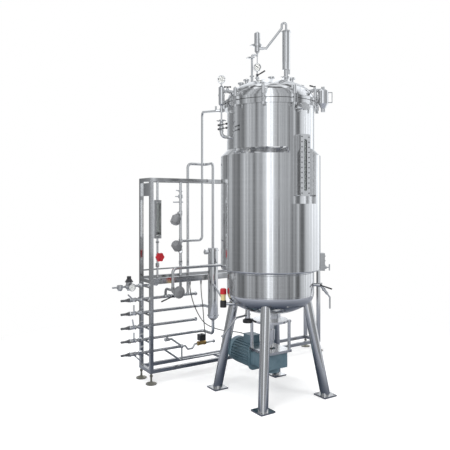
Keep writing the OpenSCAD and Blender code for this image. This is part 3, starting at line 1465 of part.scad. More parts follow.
vessel_shell();
jacket();
lid();
lid_gasket();
swing_bolts();
sight_frame();
sight_pane();
legs();
agitator_shaft();
impellers();
sparger();
seal_housing();
drive_frame();
gearbox();
motor();
pipe_clamps();
condenser();
exhaust_line();
filter_housings();
gauge_cases();
lid_valves();
side_stack();
vessel_outlets();
line_valves();
downcomer();
foam_trap();
skid_ends();
skid_rails();
levelling_feet();
inlet_pipes();
hose_spigots();
rotameter_body();
rotameter_tube();
rotameter_float();
air_line();
actuators();
heat_exchanger();
loop_pipe();
pressure_regulator();
relief_valve();
solenoid_valve();
motor_cable();
solenoid_cable();
lid_valve_lever();
air_valve_handle();
side_lever_upper();
side_lever_lower();
trap_valve_lever();
sample_lever();
cock_handle();
drain_handwheel();
inlet_lever_1();
inlet_lever_2();
inlet_lever_3();
inlet_lever_4();
inlet_lever_5();
bypass_lever();
regulator_knob();
red_handwheel();
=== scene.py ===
import bmesh
import bpy
import math
from mathutils import Matrix, Vector


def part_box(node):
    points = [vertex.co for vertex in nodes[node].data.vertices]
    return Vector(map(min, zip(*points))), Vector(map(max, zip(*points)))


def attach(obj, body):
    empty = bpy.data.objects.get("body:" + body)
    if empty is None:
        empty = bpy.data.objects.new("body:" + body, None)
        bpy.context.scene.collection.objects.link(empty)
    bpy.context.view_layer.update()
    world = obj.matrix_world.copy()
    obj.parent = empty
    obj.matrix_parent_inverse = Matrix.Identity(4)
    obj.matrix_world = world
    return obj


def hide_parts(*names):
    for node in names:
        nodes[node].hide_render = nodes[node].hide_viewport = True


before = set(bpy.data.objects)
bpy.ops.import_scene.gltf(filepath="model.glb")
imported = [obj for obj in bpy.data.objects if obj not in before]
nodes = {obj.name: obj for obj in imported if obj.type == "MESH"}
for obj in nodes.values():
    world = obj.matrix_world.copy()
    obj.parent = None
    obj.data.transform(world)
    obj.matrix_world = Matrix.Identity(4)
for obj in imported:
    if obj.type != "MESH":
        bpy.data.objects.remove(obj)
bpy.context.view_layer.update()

# ---------------------------------------------------------------------------
# The studio camera. It stands level on its tripod, a little lower than the
# skid's top rail, and its back is shifted down to take in the feet.
picture_px = 450    # side of the picture
focal_px = 538.7    # focal length, in the picture's pixels
shift_px = -21.3    # shift of the camera's back
film_mm = 36
eye = bpy.data.cameras.new("studio_camera")
eye.lens = focal_px / picture_px * film_mm
eye.sensor_width = film_mm
eye.shift_y = shift_px / picture_px
eye.clip_end = 100
camera = bpy.data.objects.new("studio_camera", eye)
camera.location = (-2.727, -3.479, 1.536)
camera.rotation_euler = (math.radians(90), 0, math.radians(-33.28))
bpy.context.collection.objects.link(camera)
bpy.context.scene.camera = camera
bpy.context.scene.view_settings.view_transform = "Standard"

# ---------------------------------------------------------------------------
# What the finishes are made from: noises read on each object's own axes,
# tints, roughness and fine relief.
def node_material(name):
    mat = bpy.data.materials.new(name)
    mat.use_nodes = True
    tree = mat.node_tree
    return mat, tree, tree.nodes["Principled BSDF"]


def surface_noise(tree, scale, detail=4.0, seed=0.0, rough=0.55):
    """A noise read on Object coordinates, stretched by the three scales."""
    where = tree.nodes.new("ShaderNodeTexCoord")
    spread = tree.nodes.new("ShaderNodeMapping")
    spread.inputs["Scale"].default_value = scale
    spread.inputs["Location"].default_value = (seed, seed * 0.7, seed * 1.3)
    grain = tree.nodes.new("ShaderNodeTexNoise")
    grain.inputs["Scale"].default_value = 1.0
    grain.inputs["Detail"].default_value = detail
    grain.inputs["Roughness"].default_value = rough
    tree.links.new(where.outputs["Object"], spread.inputs["Vector"])
    tree.links.new(spread.outputs["Vector"], grain.inputs["Vector"])
    return grain.outputs["Fac"]


def steps(tree, value, low, high, lo=0.3, hi=0.7):
    """Maps a noise from its usual span to the span low..high."""
    ramp = tree.nodes.new("ShaderNodeMapRange")
    ramp.inputs["From Min"].default_value = lo
    ramp.inputs["From Max"].default_value = hi
    ramp.inputs["To Min"].default_value = low
    ramp.inputs["To Max"].default_value = high
    tree.links.new(value, ramp.inputs["Value"])
    return ramp.outputs["Result"]


def tint(tree, share, first, second):
    """Blends two colours, each given as numbers or as a node's output."""
    mix = tree.nodes.new("ShaderNodeMix")
    mix.data_type = "RGBA"
    tree.links.new(share, mix.inputs["Factor"])
    for socket, colour in ((mix.inputs["A"], first), (mix.inputs["B"], second)):
        if isinstance(colour, (tuple, list)):
            socket.default_value = (*colour, 1)
        else:
            tree.links.new(colour, socket)
    return mix.outputs["Result"]


def arithmetic(tree, operation, first, second):
    node = tree.nodes.new("ShaderNodeMath")
    node.operation = operation
    for socket, value in zip(node.inputs, (first, second)):
        if isinstance(value, (int, float)):
            socket.default_value = value
        else:
            tree.links.new(value, socket)
    return node.outputs["Value"]


def relief(tree, value, shader, depth, strength):
    bump = tree.nodes.new("ShaderNodeBump")
    bump.inputs["Distance"].default_value = depth
    bump.inputs["Strength"].default_value = strength
    tree.links.new(value, bump.inputs["Height"])
    tree.links.new(bump.outputs["Normal"], shader.inputs["Normal"])


def moulded(name, dark, light, rough, grain=900.0, depth=0.0002):
    """Rubber or moulded plastic: a fine matt grain and slight scuffs."""
    mat, tree, shader = node_material(name)
    fine = surface_noise(tree, (grain, grain, grain), 3)
    scuffs = surface_noise(tree, (38, 38, 38), 6, 4.1)
    tree.links.new(tint(tree, steps(tree, scuffs, 0, 1), dark, light), shader.inputs["Base Color"])
    tree.links.new(steps(tree, scuffs, rough - 0.07, rough + 0.1), shader.inputs["Roughness"])
    relief(tree, fine, shader, depth, 0.35)
    return mat


# ---------------------------------------------------------------------------
# The motor's cable: a black rubber lead of 8 mm. It leaves a clip under the
# skid's middle rail, sags through the pipes and enters the terminal box.
def smoothed(points, per_span=4):
    """The route's points with a smooth line drawn through them."""
    pts = [Vector(p) / 1000 for p in points]
    out = []
    for i in range(len(pts) - 1):
        a, b, c, d = pts[max(i - 1, 0)], pts[i], pts[i + 1], pts[min(i + 2, len(pts) - 1)]
        for j in range(per_span):
            t = j / per_span
            out.append(0.5 * (2 * b + (c - a) * t + (2 * a - 5 * b + 4 * c - d) * t * t
                              + (3 * b - a - 3 * c + d) * t * t * t))
    return out + [pts[-1]]


def lead(name, points, radius, mat):
    """A lead along the route, and its length in metres."""
    curve = bpy.data.curves.new(name, "CURVE")
    curve.dimensions = "3D"
    curve.bevel_depth = radius
    curve.bevel_resolution = 3
    curve.use_fill_caps = True
    line = smoothed(points)
    spline = curve.splines.new("POLY")
    spline.points.add(len(line) - 1)
    for point, at in zip(spline.points, line):
        point.co = (*at, 1)
    spline.use_smooth = True
    piece = bpy.data.objects.new(name, curve)
    bpy.context.collection.objects.link(piece)
    curve.materials.append(mat)
    return piece, sum((b - a).length for a, b in zip(line, line[1:]))


lead_r = 0.004
cable_rubber = moulded("cable_rubber", (0.018, 0.018, 0.02), (0.045, 0.045, 0.048), 0.5)
motor_route = [
    (-357, 700, 837), (-357, 700, 790), (-342, 707, 730), (-318, 722, 670), (-290, 734, 612),
    (-258, 744, 556), (-222, 752, 502), (-184, 757, 456), (-140, 755, 420), (-96, 735, 396),
    (-60, 690, 382), (-32, 620, 380), (-12, 540, 386), (-2, 460, 394), (0, 390, 398), (0, 341, 398)]
motor_lead, motor_lead_length = lead("motor_lead", motor_route, lead_r, cable_rubber)
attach(motor_lead, "reactor")
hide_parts("motor_cable")

# ---------------------------------------------------------------------------
# The solenoid's cable: the same black lead, shorter. It drops from its own
# clip on the rail and turns into the gland on the coil's front.
solenoid_route = [
    (-243, 700, 837), (-243, 700, 790), (-237, 705, 735), (-226, 712, 675), (-214, 719, 615),
    (-204, 726, 555), (-196, 732, 495), (-189, 734, 435), (-184, 732, 380), (-180, 728, 340),
    (-178, 732, 314), (-178, 745, 304), (-178, 765, 304)]
solenoid_lead, solenoid_lead_length = lead("solenoid_lead", solenoid_route, lead_r, cable_rubber)
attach(solenoid_lead, "reactor")
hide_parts("solenoid_cable")

# ---------------------------------------------------------------------------
# The studio: a seamless white floor under soft boxes. Tall grey flats and a
# ceiling stand round the set, and the polished steel mirrors them as bands.
def new_mesh(name, bm, mat=None):
    mesh = bpy.data.meshes.new(name)
    bm.to_mesh(mesh)
    bm.free()
    piece = bpy.data.objects.new(name, mesh)
    bpy.context.collection.objects.link(piece)
    if mat:
        mesh.materials.append(mat)
    return piece


floor_r, floor_drop = 30, 0.0005
floor_lift = 0.36            # light that the floor adds for the camera
# painted shadow: the floor that the steel mirrors is painted dark round the vessel and lighter
# further out
painted_shade_span = (0.25, 2.2)    # metres over which the mirrored floor brightens
fade_span = (1.5, 3.4)       # metres over which the floor fades to white
flats_r, flats_tall, ceiling_r = 3.1, 7.4, 9
floor_paint, tree, shader = node_material("floor_paint")
shader.inputs["Roughness"].default_value = 0.75
seen = tree.nodes.new("ShaderNodeLightPath")
where = tree.nodes.new("ShaderNodeTexCoord")
reach = tree.nodes.new("ShaderNodeVectorMath")
reach.operation = "LENGTH"
tree.links.new(where.outputs["Object"], reach.inputs[0])
# the camera sees a white floor, and the steel mirrors one with a painted shadow, darkest near the
# vessel and lighter further out
lit = tint(tree, steps(tree, surface_noise(tree, (3, 3, 3)), 0, 1),
           (0.80, 0.80, 0.80), (0.82, 0.82, 0.82))
mirrored_painted_shadow = tint(tree, steps(tree, reach.outputs["Value"], 0, 1, *painted_shade_span),
                (0.05, 0.065, 0.10), (0.36, 0.38, 0.43))
tree.links.new(tint(tree, seen.outputs["Is Glossy Ray"], lit, mirrored_painted_shadow), shader.inputs["Base Color"])
shader.inputs["Emission Color"].default_value = (1, 1, 1, 1)
tree.links.new(arithmetic(tree, "MULTIPLY", seen.outputs["Is Camera Ray"], floor_lift),
               shader.inputs["Emission Strength"])
sweep = tree.nodes.new("ShaderNodeMapRange")
sweep.interpolation_type = "SMOOTHSTEP"
sweep.inputs["From Min"].default_value, sweep.inputs["From Max"].default_value = fade_span
tree.links.new(reach.outputs["Value"], sweep.inputs["Value"])
backdrop = tree.nodes.new("ShaderNodeEmission")
blend = tree.nodes.new("ShaderNodeMixShader")
through = arithmetic(tree, "MAXIMUM", seen.outputs["Is Camera Ray"],
                     seen.outputs["Is Transmission Ray"])
tree.links.new(arithmetic(tree, "MULTIPLY", sweep.outputs["Result"], through), blend.inputs[0])
tree.links.new(shader.outputs["BSDF"], blend.inputs[1])
tree.links.new(backdrop.outputs["Emission"], blend.inputs[2])
tree.links.new(blend.outputs["Shader"], tree.nodes["Material Output"].inputs["Surface"])
bm = bmesh.new()
bmesh.ops.create_circle(bm, cap_ends=True, segments=96, radius=floor_r)
floor = new_mesh("studio_floor", bm, floor_paint)
floor.location.z = -floor_drop

# brightness of the flats round the set, by degrees from the one behind the camera
flat_tones = [(-180, 0.95), (-150, 0.62), (-122, 0.2), (-106, 0.3), (-98, 0.5), (-84, 0.2),
              (-68, 0.22), (-58, 0.48), (-46, 0.42), (-34, 0.28), (-22, 0.4), (-9, 0.75),
              (-4, 1.15), (4, 1.15), (9, 0.6), (26, 0.42), (42, 0.34), (54, 0.3), (60, 0.5),
              (69, 0.18), (75, 0.17), (81, 0.62), (92, 0.8), (112, 0.95), (130, 1.15),
              (150, 0.5), (164, 0.75), (180, 0.95)]
camera_side = -128.1    # degrees round the vessel, from +X
flat_paint, tree, shader = node_material("flat_paint")
tree.nodes.remove(shader)
glow = tree.nodes.new("ShaderNodeEmission")
where = tree.nodes.new("ShaderNodeTexCoord")
split = tree.nodes.new("ShaderNodeSeparateXYZ")
tree.links.new(where.outputs["Object"], split.inputs["Vector"])
turn = arithmetic(tree, "ARCTAN2", split.outputs["Y"], split.outputs["X"])
around = tree.nodes.new("ShaderNodeMapRange")
around.inputs["From Min"].default_value = -math.pi
around.inputs["From Max"].default_value = math.pi
tree.links.new(turn, around.inputs["Value"])
ramp = tree.nodes.new("ShaderNodeValToRGB")
tree.links.new(around.outputs["Result"], ramp.inputs["Fac"])
stops = sorted(((angle + camera_side + 180) % 360 / 360, tone) for angle, tone in flat_tones[1:])
(x0, y0), (x1, y1) = stops[-1], stops[0]
seam = y0 + (y1 - y0) * (1 - x0) / (1 - x0 + x1)
stops = [(0, seam)] + stops + [(1, seam)]
# a ramp holds colours up to 1, so it has half of each brightness
marks = ramp.color_ramp.elements
marks[1].position = 1
marks[0].color = marks[1].color = (seam / 2, seam / 2, seam / 2, 1)
for at, tone in stops[1:-1]:
    mark = marks.new(at)
    mark.color = (tone / 2, tone / 2, tone / 2, 1)
bands = tree.nodes.new("ShaderNodeTexNoise")
bands.noise_dimensions = "1D"
bands.inputs["Scale"].default_value = 8
bands.inputs["Detail"].default_value = 2.5
bands.inputs["Roughness"].default_value = 0.62
tree.links.new(turn, bands.inputs["W"])
striped = arithmetic(tree, "MULTIPLY", ramp.outputs["Color"],
                     steps(tree, bands.outputs["Fac"], 1.5, 3.5, 0.34, 0.66))
dimmer_low = steps(tree, split.outputs["Z"], 0.7, 1, 0.2, 1.8)
tree.links.new(arithmetic(tree, "MULTIPLY", striped, dimmer_low), glow.inputs["Strength"])
glow.inputs["Color"].default_value = (0.92, 0.955, 1.0, 1)
tree.links.new(glow.outputs["Emission"], tree.nodes["Material Output"].inputs["Surface"])
bm = bmesh.new()
bmesh.ops.create_circle(bm, segments=180, radius=flats_r)
wall = bmesh.ops.extrude_edge_only(bm, edges=bm.edges[:])["geom"]
bmesh.ops.translate(bm, vec=(0, 0, flats_tall),
                    verts=[g for g in wall if isinstance(g, bmesh.types.BMVert)])
flats = new_mesh("studio_flats", bm, flat_paint)

ceiling_paint, tree, shader = node_material("ceiling_paint")
tree.nodes.remove(shader)
glow = tree.nodes.new("ShaderNodeEmission")
panels = surface_noise(tree, (0.5, 0.5, 0.5), 2, 4.0, 0.6)
tree.links.new(steps(tree, panels, 0.08, 1.3, 0.42, 0.58), glow.inputs["Strength"])
glow.inputs["Color"].default_value = (0.93, 0.96, 1.0, 1)
tree.links.new(glow.outputs["Emission"], tree.nodes["Material Output"].inputs["Surface"])
bm = bmesh.new()
bmesh.ops.create_circle(bm, cap_ends=True, segments=64, radius=ceiling_r)
bmesh.ops.translate(bm, vec=(0, 0, flats_tall), verts=bm.verts)
ceiling = new_mesh("studio_ceiling", bm, ceiling_paint)
# only the polished steel sees the flats and the ceiling
for screen in (flats, ceiling):
    screen.visible_camera = False
    screen.visible_diffuse = False
    screen.visible_shadow = False
    screen.visible_transmission = False
    screen.visible_volume_scatter = False

world = bpy.data.worlds.new("studio_air")
bpy.context.scene.world = world
world.use_nodes = True
tree = world.node_tree
air = tree.nodes["Background"]
ray = tree.nodes.new("ShaderNodeLightPath")
clear = arithmetic(tree, "MAXIMUM", ray.outputs["Is Camera Ray"], ray.outputs["Is Glossy Ray"])
clear = arithmetic(tree, "MAXIMUM", clear, ray.outputs["Is Transmission Ray"])
power = tree.nodes.new("ShaderNodeMapRange")
power.inputs["To Min"].default_value = 0.32
power.inputs["To Max"].default_value = 1.0
tree.links.new(clear, power.inputs["Value"])
tree.links.new(power.outputs["Result"], air.inputs["Strength"])
air.inputs["Color"].default_value = (1, 1, 1, 1)

for name, at, aim, size, watts in (
        ("soft_box_left", (-4.2, -2.2, 3.6), (0, 0, 1.2), 2.6, 150),
        ("soft_box_right", (2.6, -4.4, 3.2), (0, 0, 1.3), 2.4, 120),
        ("soft_box_top", (-0.4, 0.4, 6.0), (0, 0, 1.0), 4.0, 170),
        ("soft_box_back", (-1.6, 4.6, 3.4), (0, 0.4, 1.2), 2.6, 80)):
    lamp = bpy.data.lights.new(name, "AREA")
    lamp.shape = "SQUARE"
    lamp.size = size
    lamp.energy = watts
    holder = bpy.data.objects.new(name, lamp)
    holder.location = at
    holder.rotation_euler = (Vector(aim) - Vector(at)).to_track_quat("-Z", "Y").to_euler()
    holder.visible_glossy = False
    bpy.context.collection.objects.link(holder)

# ---------------------------------------------------------------------------
# The finishes of the CAD pieces. The vessel is polished stainless steel: the
# belt ran round it, so its lines lie level and blur upright.
def coat(mat, *names):
    for name in names:
        piece = nodes[name]
        if not piece.material_slots:
            piece.data.materials.append(mat)
        for place in piece.material_slots:
            place.material = mat


def polished(name, tone, rough, lines, depth=0.00006, strength=0.25, blur=0.0, smears=2.2,
             warmth=(1.0, 1.0, 1.0)):
    """Steel with belt lines along the small scales and faint wipe marks."""
    mat, tree, shader = node_material(name)
    shader.inputs["Metallic"].default_value = 1.0
    grit = surface_noise(tree, lines, 5, 1.7, 0.7)
    wipes = surface_noise(tree, (smears, smears, smears * 1.6), 5, 8.3, 0.6)
    dark = [tone * 0.93 * w for w in warmth]
    light = [min(tone * 1.05, 0.96) * w for w in warmth]
    tree.links.new(tint(tree, steps(tree, grit, 0, 1), dark, light), shader.inputs["Base Color"])
    tree.links.new(arithmetic(tree, "ADD", steps(tree, grit, rough - 0.03, rough + 0.05),
                              steps(tree, wipes, -0.03, 0.06)), shader.inputs["Roughness"])
    relief(tree, grit, shader, depth, strength)
    if blur:
        shader.inputs["Anisotropic"].default_value = blur
        along = tree.nodes.new("ShaderNodeTangent")
        along.direction_type = "RADIAL"
        along.axis = "Z"
        tree.links.new(along.outputs["Tangent"], shader.inputs["Tangent"])
    return mat


shell_steel = polished("shell_steel", 0.76, 0.075, (3, 3, 420), blur=0.55)
coat(shell_steel, "vessel_shell")
jacket_steel = polished("jacket_steel", 0.75, 0.07, (3, 3, 360), blur=0.5)
coat(jacket_steel, "jacket")
lid_steel = polished("lid_steel", 0.77, 0.08, (240, 240, 30), blur=0.3)
coat(lid_steel, "lid")
turned_steel = polished("turned_steel", 0.75, 0.13, (90, 90, 520))
coat(turned_steel, "agitator_shaft", "impellers", "sparger", "seal_housing", "drive_frame")
fitting_steel = polished("fitting_steel", 0.78, 0.06, (170, 170, 170), smears=9)
coat(fitting_steel, "swing_bolts", "pipe_clamps", "condenser", "exhaust_line", "filter_housings",
     "side_stack", "downcomer", "foam_trap", "loop_pipe", "air_line", "inlet_pipes",
     "heat_exchanger", "sight_frame", "gauge_cases", "lid_valves", "vessel_outlets",
     "line_valves", "rotameter_body", "cock_handle", "inlet_lever_1", "inlet_lever_2",
     "inlet_lever_3", "inlet_lever_4", "inlet_lever_5")
leg_steel = polished("leg_steel", 0.74, 0.09, (160, 160, 160), depth=0.00002, strength=0.12)
coat(leg_steel, "legs")
skid_steel = polished("skid_steel", 0.66, 0.11, (260, 260, 260), depth=0.00002, strength=0.1,
                      smears=3)
coat(skid_steel, "skid_ends", "skid_rails")
coat(moulded("gasket_rubber", (0.02, 0.02, 0.02), (0.05, 0.05, 0.05), 0.6), "lid_gasket")
coat(moulded("grip_plastic", (0.015, 0.015, 0.017), (0.05, 0.05, 0.055), 0.38, 600),
     "lid_valve_lever", "air_valve_handle", "side_lever_upper", "side_lever_lower",
     "trap_valve_lever", "sample_lever", "bypass_lever", "regulator_knob", "drain_handwheel",
     "rotameter_float")
coat(moulded("red_plastic", (0.42, 0.012, 0.02), (0.62, 0.03, 0.045), 0.3, 500), "red_handwheel")


def enamel(name, dark, light, rough):
    """Sprayed enamel with a slight orange peel and a clear, hard skin."""
    mat, tree, shader = node_material(name)
    peel = surface_noise(tree, (260, 260, 260), 2, 2.2)
    dust = surface_noise(tree, (14, 14, 14), 6, 5.9)
    tree.links.new(tint(tree, steps(tree, dust, 0, 1), dark, light), shader.inputs["Base Color"])
    tree.links.new(steps(tree, dust, rough - 0.06, rough + 0.1), shader.inputs["Roughness"])
    relief(tree, peel, shader, 0.0004, 0.3)
    shader.inputs["Coat Weight"].default_value = 0.3
    shader.inputs["Coat Roughness"].default_value = 0.2
    return mat


coat(enamel("motor_enamel", (0.085, 0.15, 0.19), (0.14, 0.22, 0.265), 0.42), "motor", "gearbox")
coat(enamel("grey_enamel", (0.17, 0.175, 0.185), (0.24, 0.245, 0.255), 0.4), "actuators",
     "pressure_regulator")
coat(polished("foot_zinc", 0.45, 0.38, (80, 80, 80), warmth=(1.0, 0.95, 0.8)), "levelling_feet")
coat(polished("dark_steel", 0.34, 0.34, (90, 90, 90)), "hose_spigots")


def clear_glass(name, colour, rough):
    mat, tree, shader = node_material(name)
    shader.inputs["Base Color"].default_value = (*colour, 1)
    shader.inputs["Transmission Weight"].default_value = 1.0
    shader.inputs["IOR"].default_value = 1.47
    haze = surface_noise(tree, (30, 30, 8), 4, 3.3)
    tree.links.new(steps(tree, haze, rough, rough + 0.05), shader.inputs["Roughness"])
    return mat


coat(clear_glass("sight_glass", (0.80, 0.87, 0.86), 0.02), "sight_pane")
coat(clear_glass("tube_glass", (0.97, 0.99, 0.98), 0.01), "rotameter_tube")


def zoned(name, zones, rough, axis, reach, metal=0.0):
    """Colours by height, as (lower edge in metres, colour). Bare steel shows
    beyond the reach from the upright axis, and below the height in metal the
    colour is a metal's."""
    mat, tree, shader = node_material(name)
    where = tree.nodes.new("ShaderNodeTexCoord")
    split = tree.nodes.new("ShaderNodeSeparateXYZ")
    tree.links.new(where.outputs["Object"], split.inputs["Vector"])
    height = split.outputs["Z"]
    colour = zones[0][1]
    for low, tone in zones[1:]:
        colour = tint(tree, arithmetic(tree, "GREATER_THAN", height, low), colour, tone)
    off_x, off_y = (arithmetic(tree, "SUBTRACT", split.outputs[k], axis[k]) for k in (0, 1))
    away = arithmetic(tree, "ADD", arithmetic(tree, "POWER", off_x, 2),
                      arithmetic(tree, "POWER", off_y, 2))
    bare = arithmetic(tree, "GREATER_THAN", away, reach ** 2)
    tree.links.new(tint(tree, bare, colour, (0.74, 0.75, 0.77)), shader.inputs["Base Color"])
    grime = surface_noise(tree, (60, 60, 60), 5, 6.6)
    tree.links.new(steps(tree, grime, rough - 0.06, rough + 0.1), shader.inputs["Roughness"])
    relief(tree, surface_noise(tree, (500, 500, 500), 3), shader, 0.0001, 0.3)
    shine = arithmetic(tree, "MAXIMUM", bare, arithmetic(tree, "LESS_THAN", height, metal))
    tree.links.new(shine, shader.inputs["Metallic"])
    return mat


black, cream, red = (0.025, 0.025, 0.027), (0.72, 0.60, 0.30), (0.55, 0.02, 0.03)
brass, coil_foot = (0.62, 0.43, 0.18), 0.277
coat(zoned("relief_paint", ((0, black), (0.748, cream), (0.798, red)), 0.33,
           (-0.322, 0.211), 0.0275), "relief_valve")
coat(zoned("solenoid_finish", ((0, brass), (coil_foot, black)), 0.33,
           (-0.178, 0.8), 0.1, coil_foot), "solenoid_valve")

# ---------------------------------------------------------------------------
# Makers of the trim. Their sizes are millimetres on the face that a piece
# stands on, and every piece of trim stands with the reactor.
def stand(point, normal, across):
    """From millimetres on a face, with local +Z out of it, to the object's metres."""
    z = Vector(normal).normalized()
    x = Vector(across).normalized()
    y = z.cross(x)
    turned = Matrix((x, y, z)).transposed().to_4x4()
    return Matrix.Translation(Vector(point) / 1000) @ turned @ Matrix.Scale(0.001, 4)


def polar(az, r, z):
    a = math.radians(az)
    return Vector((r * math.cos(a), r * math.sin(a), z))


def screw_head(bm, place, r, h, sides=14):
    """Button head with a hexagon socket, standing on the local XY plane."""
    made = bmesh.ops.create_cone(bm, cap_ends=True, segments=sides, radius1=r, radius2=r * 0.72,
                                 depth=h, matrix=place @ Matrix.Translation((0, 0, h / 2)))
    axis = (place.to_3x3() @ Vector((0, 0, 1))).normalized()
    faces = {f for v in made["verts"] for f in v.link_faces}
    top = max(faces, key=lambda f: f.calc_center_median().dot(axis))
    bmesh.ops.inset_individual(bm, faces=[top], thickness=r * 0.00032)
    deep = bmesh.ops.extrude_discrete_faces(bm, faces=[top])["faces"]
    bmesh.ops.translate(bm, vec=-axis * h * 0.00055, verts=deep[0].verts[:])


def block(bm, place, centre, size):
    bmesh.ops.create_cube(bm, size=1.0, matrix=place @ Matrix.Translation(centre)
                          @ Matrix.Diagonal((*size, 1)))


def turn_round(bm, points, centre, axis, rounds, closed=False):
    """Turns a line of points, in metres, once round an axis."""
    line = [bm.verts.new(p) for p in points]
    after = line[1:] + line[:1] if closed else line[1:]
    edges = [bm.edges.new(pair) for pair in zip(line, after)]
    bmesh.ops.spin(bm, geom=line + edges, cent=centre, axis=axis, steps=rounds,
                   angle=math.tau, use_merge=True)


def close_seams(bm, gap=1e-6):
    bmesh.ops.remove_doubles(bm, verts=bm.verts[:], dist=gap)
    bmesh.ops.recalc_face_normals(bm, faces=bm.faces[:])


def trim(name, bm, mat, wall=None):
    """A piece of trim in a material slot. A sheet gets the wall, in metres."""
    piece = new_mesh(name, bm, mat)
    if wall:
        piece.modifiers.new("wall", "SOLIDIFY").thickness = wall
    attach(piece, "reactor")
    return piece


# ---------------------------------------------------------------------------
# The sight glass: a thick steel frame welded to the shell. Two columns of
# button screws clamp its pane, and a level scale is engraved beside the slot.
sight_az, sight_face, sight_low, sight_tall = -87, 404, 1594, 470
screw_rows, screw_off, screw_inset = 12, 37, 22
button_r, button_tall = 5.2, 3.6
tick_count, tick_pitch, tick_off, first_tick = 41, 9.25, 19, 50
sight_out = polar(sight_az, 1, 0)
sight_across = Vector((-sight_out.y, sight_out.x, 0))
sight_place = stand(polar(sight_az, sight_face, sight_low), sight_out, sight_across)
bm = bmesh.new()
for side in (-1, 1):
    for row in range(screw_rows):
        up = screw_inset + row * (sight_tall - 2 * screw_inset) / (screw_rows - 1)
        screw_head(bm, sight_place @ Matrix.Translation((side * screw_off, up, 0)),
                   button_r, button_tall)
blued_steel = polished("blued_steel", 0.16, 0.3, (300, 300, 300))
trim("sight_screws", bm, blued_steel)

ink = moulded("engraving_ink", (0.01, 0.01, 0.012), (0.03, 0.03, 0.03), 0.5)
bm = bmesh.new()
for k in range(tick_count):
    long = 9 if k % 5 == 0 else 5
    block(bm, sight_place, (tick_off + long / 2, first_tick + k * tick_pitch, 0.1), (long, 1.3, 0.5))
trim("sight_scale", bm, ink)

# ---------------------------------------------------------------------------
# The three pressure gauges: a printed dial with a black pointer behind a
# domed glass, each held in its case by a polished ring.
dial_card = moulded("dial_card", (0.82, 0.82, 0.80), (0.88, 0.88, 0.86), 0.45, 300, 0.00005)
lens_glass = clear_glass("gauge_glass", (0.97, 0.98, 0.98), 0.01)
gauge_r, dial_out = 32, 10
dial_start, dial_sweep, dial_ticks = 225, 270, 26
for k, (centre, az, pressure) in enumerate((
        ((-69, 86, 2657), -123, 0.34), (polar(165, 420, 2520), -123, 0.2),
        ((-895, 746, 832), -90, 0.5))):
    out = polar(az, 1, 0)
    place = stand(Vector(centre) + out * dial_out, out, (-out.y, out.x, 0))
    bm = bmesh.new()
    bmesh.ops.create_circle(bm, cap_ends=True, segments=48, radius=gauge_r - 4.2,
                            matrix=place @ Matrix.Translation((0, 0, 0.4)))
    trim("gauge_card_%d" % (k + 1), bm, dial_card)
    bm = bmesh.new()
    for n in range(dial_ticks):
        a = math.radians(dial_start - n * dial_sweep / (dial_ticks - 1))
        long, broad = (5, 0.9) if n % 5 == 0 else (3, 0.5)
        block(bm, place @ Matrix.Rotation(a, 4, "Z"), (23.5 - long / 2, 0, 0.75), (long, broad, 0.3))
    a = math.radians(dial_start - pressure * dial_sweep)
    hand = place @ Matrix.Rotation(a, 4, "Z")
    arm = bmesh.ops.create_cube(bm, size=1.0, matrix=hand @ Matrix.Translation((7, 0, 1.6))
                                @ Matrix.Diagonal((30, 2.2, 0.5, 1)))["verts"]
    tip = [v for v in arm if (hand.inverted() @ v.co).x > 10]
    bmesh.ops.scale(bm, vec=(0.35, 0.35, 0.35), verts=tip,
                    space=Matrix.Translation(-sum((v.co for v in tip), Vector()) / len(tip)))
    bmesh.ops.create_cone(bm, cap_ends=True, segments=20, radius1=3.2, radius2=2.4, depth=1.6,
                          matrix=place @ Matrix.Translation((0, 0, 1.6)))
    trim("gauge_hand_%d" % (k + 1), bm, ink)
    bm = bmesh.new()
    rim = ((gauge_r - 5.5, 3.2), (gauge_r - 3, 5.2), (gauge_r - 0.5, 5.2),
           (gauge_r + 0.6, 3.4), (gauge_r + 0.6, 0.5))
    turn_round(bm, [place @ Vector((r, 0, z)) for r, z in rim], place.translation, out, 48)
    close_seams(bm)
    trim("gauge_ring_%d" % (k + 1), bm, fitting_steel, wall=0.0006)
    bm = bmesh.new()
    dome = [(r, 3.4 + 1.4 * (1 - (r / 27) ** 2)) for r in (27, 20, 13, 6, 0.01)]
    turn_round(bm, [place @ Vector((r, 0, z)) for r, z in dome], place.translation, out, 36)
    close_seams(bm, 2e-5)
    lens = trim("gauge_lens_%d" % (k + 1), bm, lens_glass)
    for f in lens.data.polygons:
        f.use_smooth = True

# ---------------------------------------------------------------------------
# The motor: a finned cast housing in blue-green enamel. A pressed cowl with
# a ring grille covers the fan, and the terminal box has a screwed lid.
motor_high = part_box("motor")[1]
motor_z = 256
cowl = stand((0, motor_high.y * 1000, motor_z), (0, 1, 0), (1, 0, 0))
# a black disc on the cowl's end, under the grille: partly the black of the fan, partly painted shade
# for the hollow behind the grille
fan_and_shade_black = moulded("fan_and_painted_shade", (0.012, 0.012, 0.012), (0.03, 0.03, 0.03), 0.55)
bm = bmesh.new()
bmesh.ops.create_circle(bm, cap_ends=True, segments=48, radius=70,
                        matrix=cowl @ Matrix.Translation((0, 0, 0.3)))
trim("fan_painted_shade", bm, fan_and_shade_black)
cowl_enamel = nodes["motor"].material_slots[0].material
bm = bmesh.new()
for r in (14, 26, 38, 50, 62, 74):
    wire = [cowl @ Vector((r + dx, 0, 1.6 + dz))
            for dx, dz in ((1.7, 0), (0, 1.7), (-1.7, 0), (0, -1.4))]
    turn_round(bm, wire, cowl.translation, (0, 1, 0), 48, closed=True)
for k in range(4):
    block(bm, cowl @ Matrix.Rotation(math.radians(45 + 90 * k), 4, "Z"), (44, 0, 1.2), (64, 5, 2.4))
close_seams(bm)
trim("fan_grille", bm, cowl_enamel)

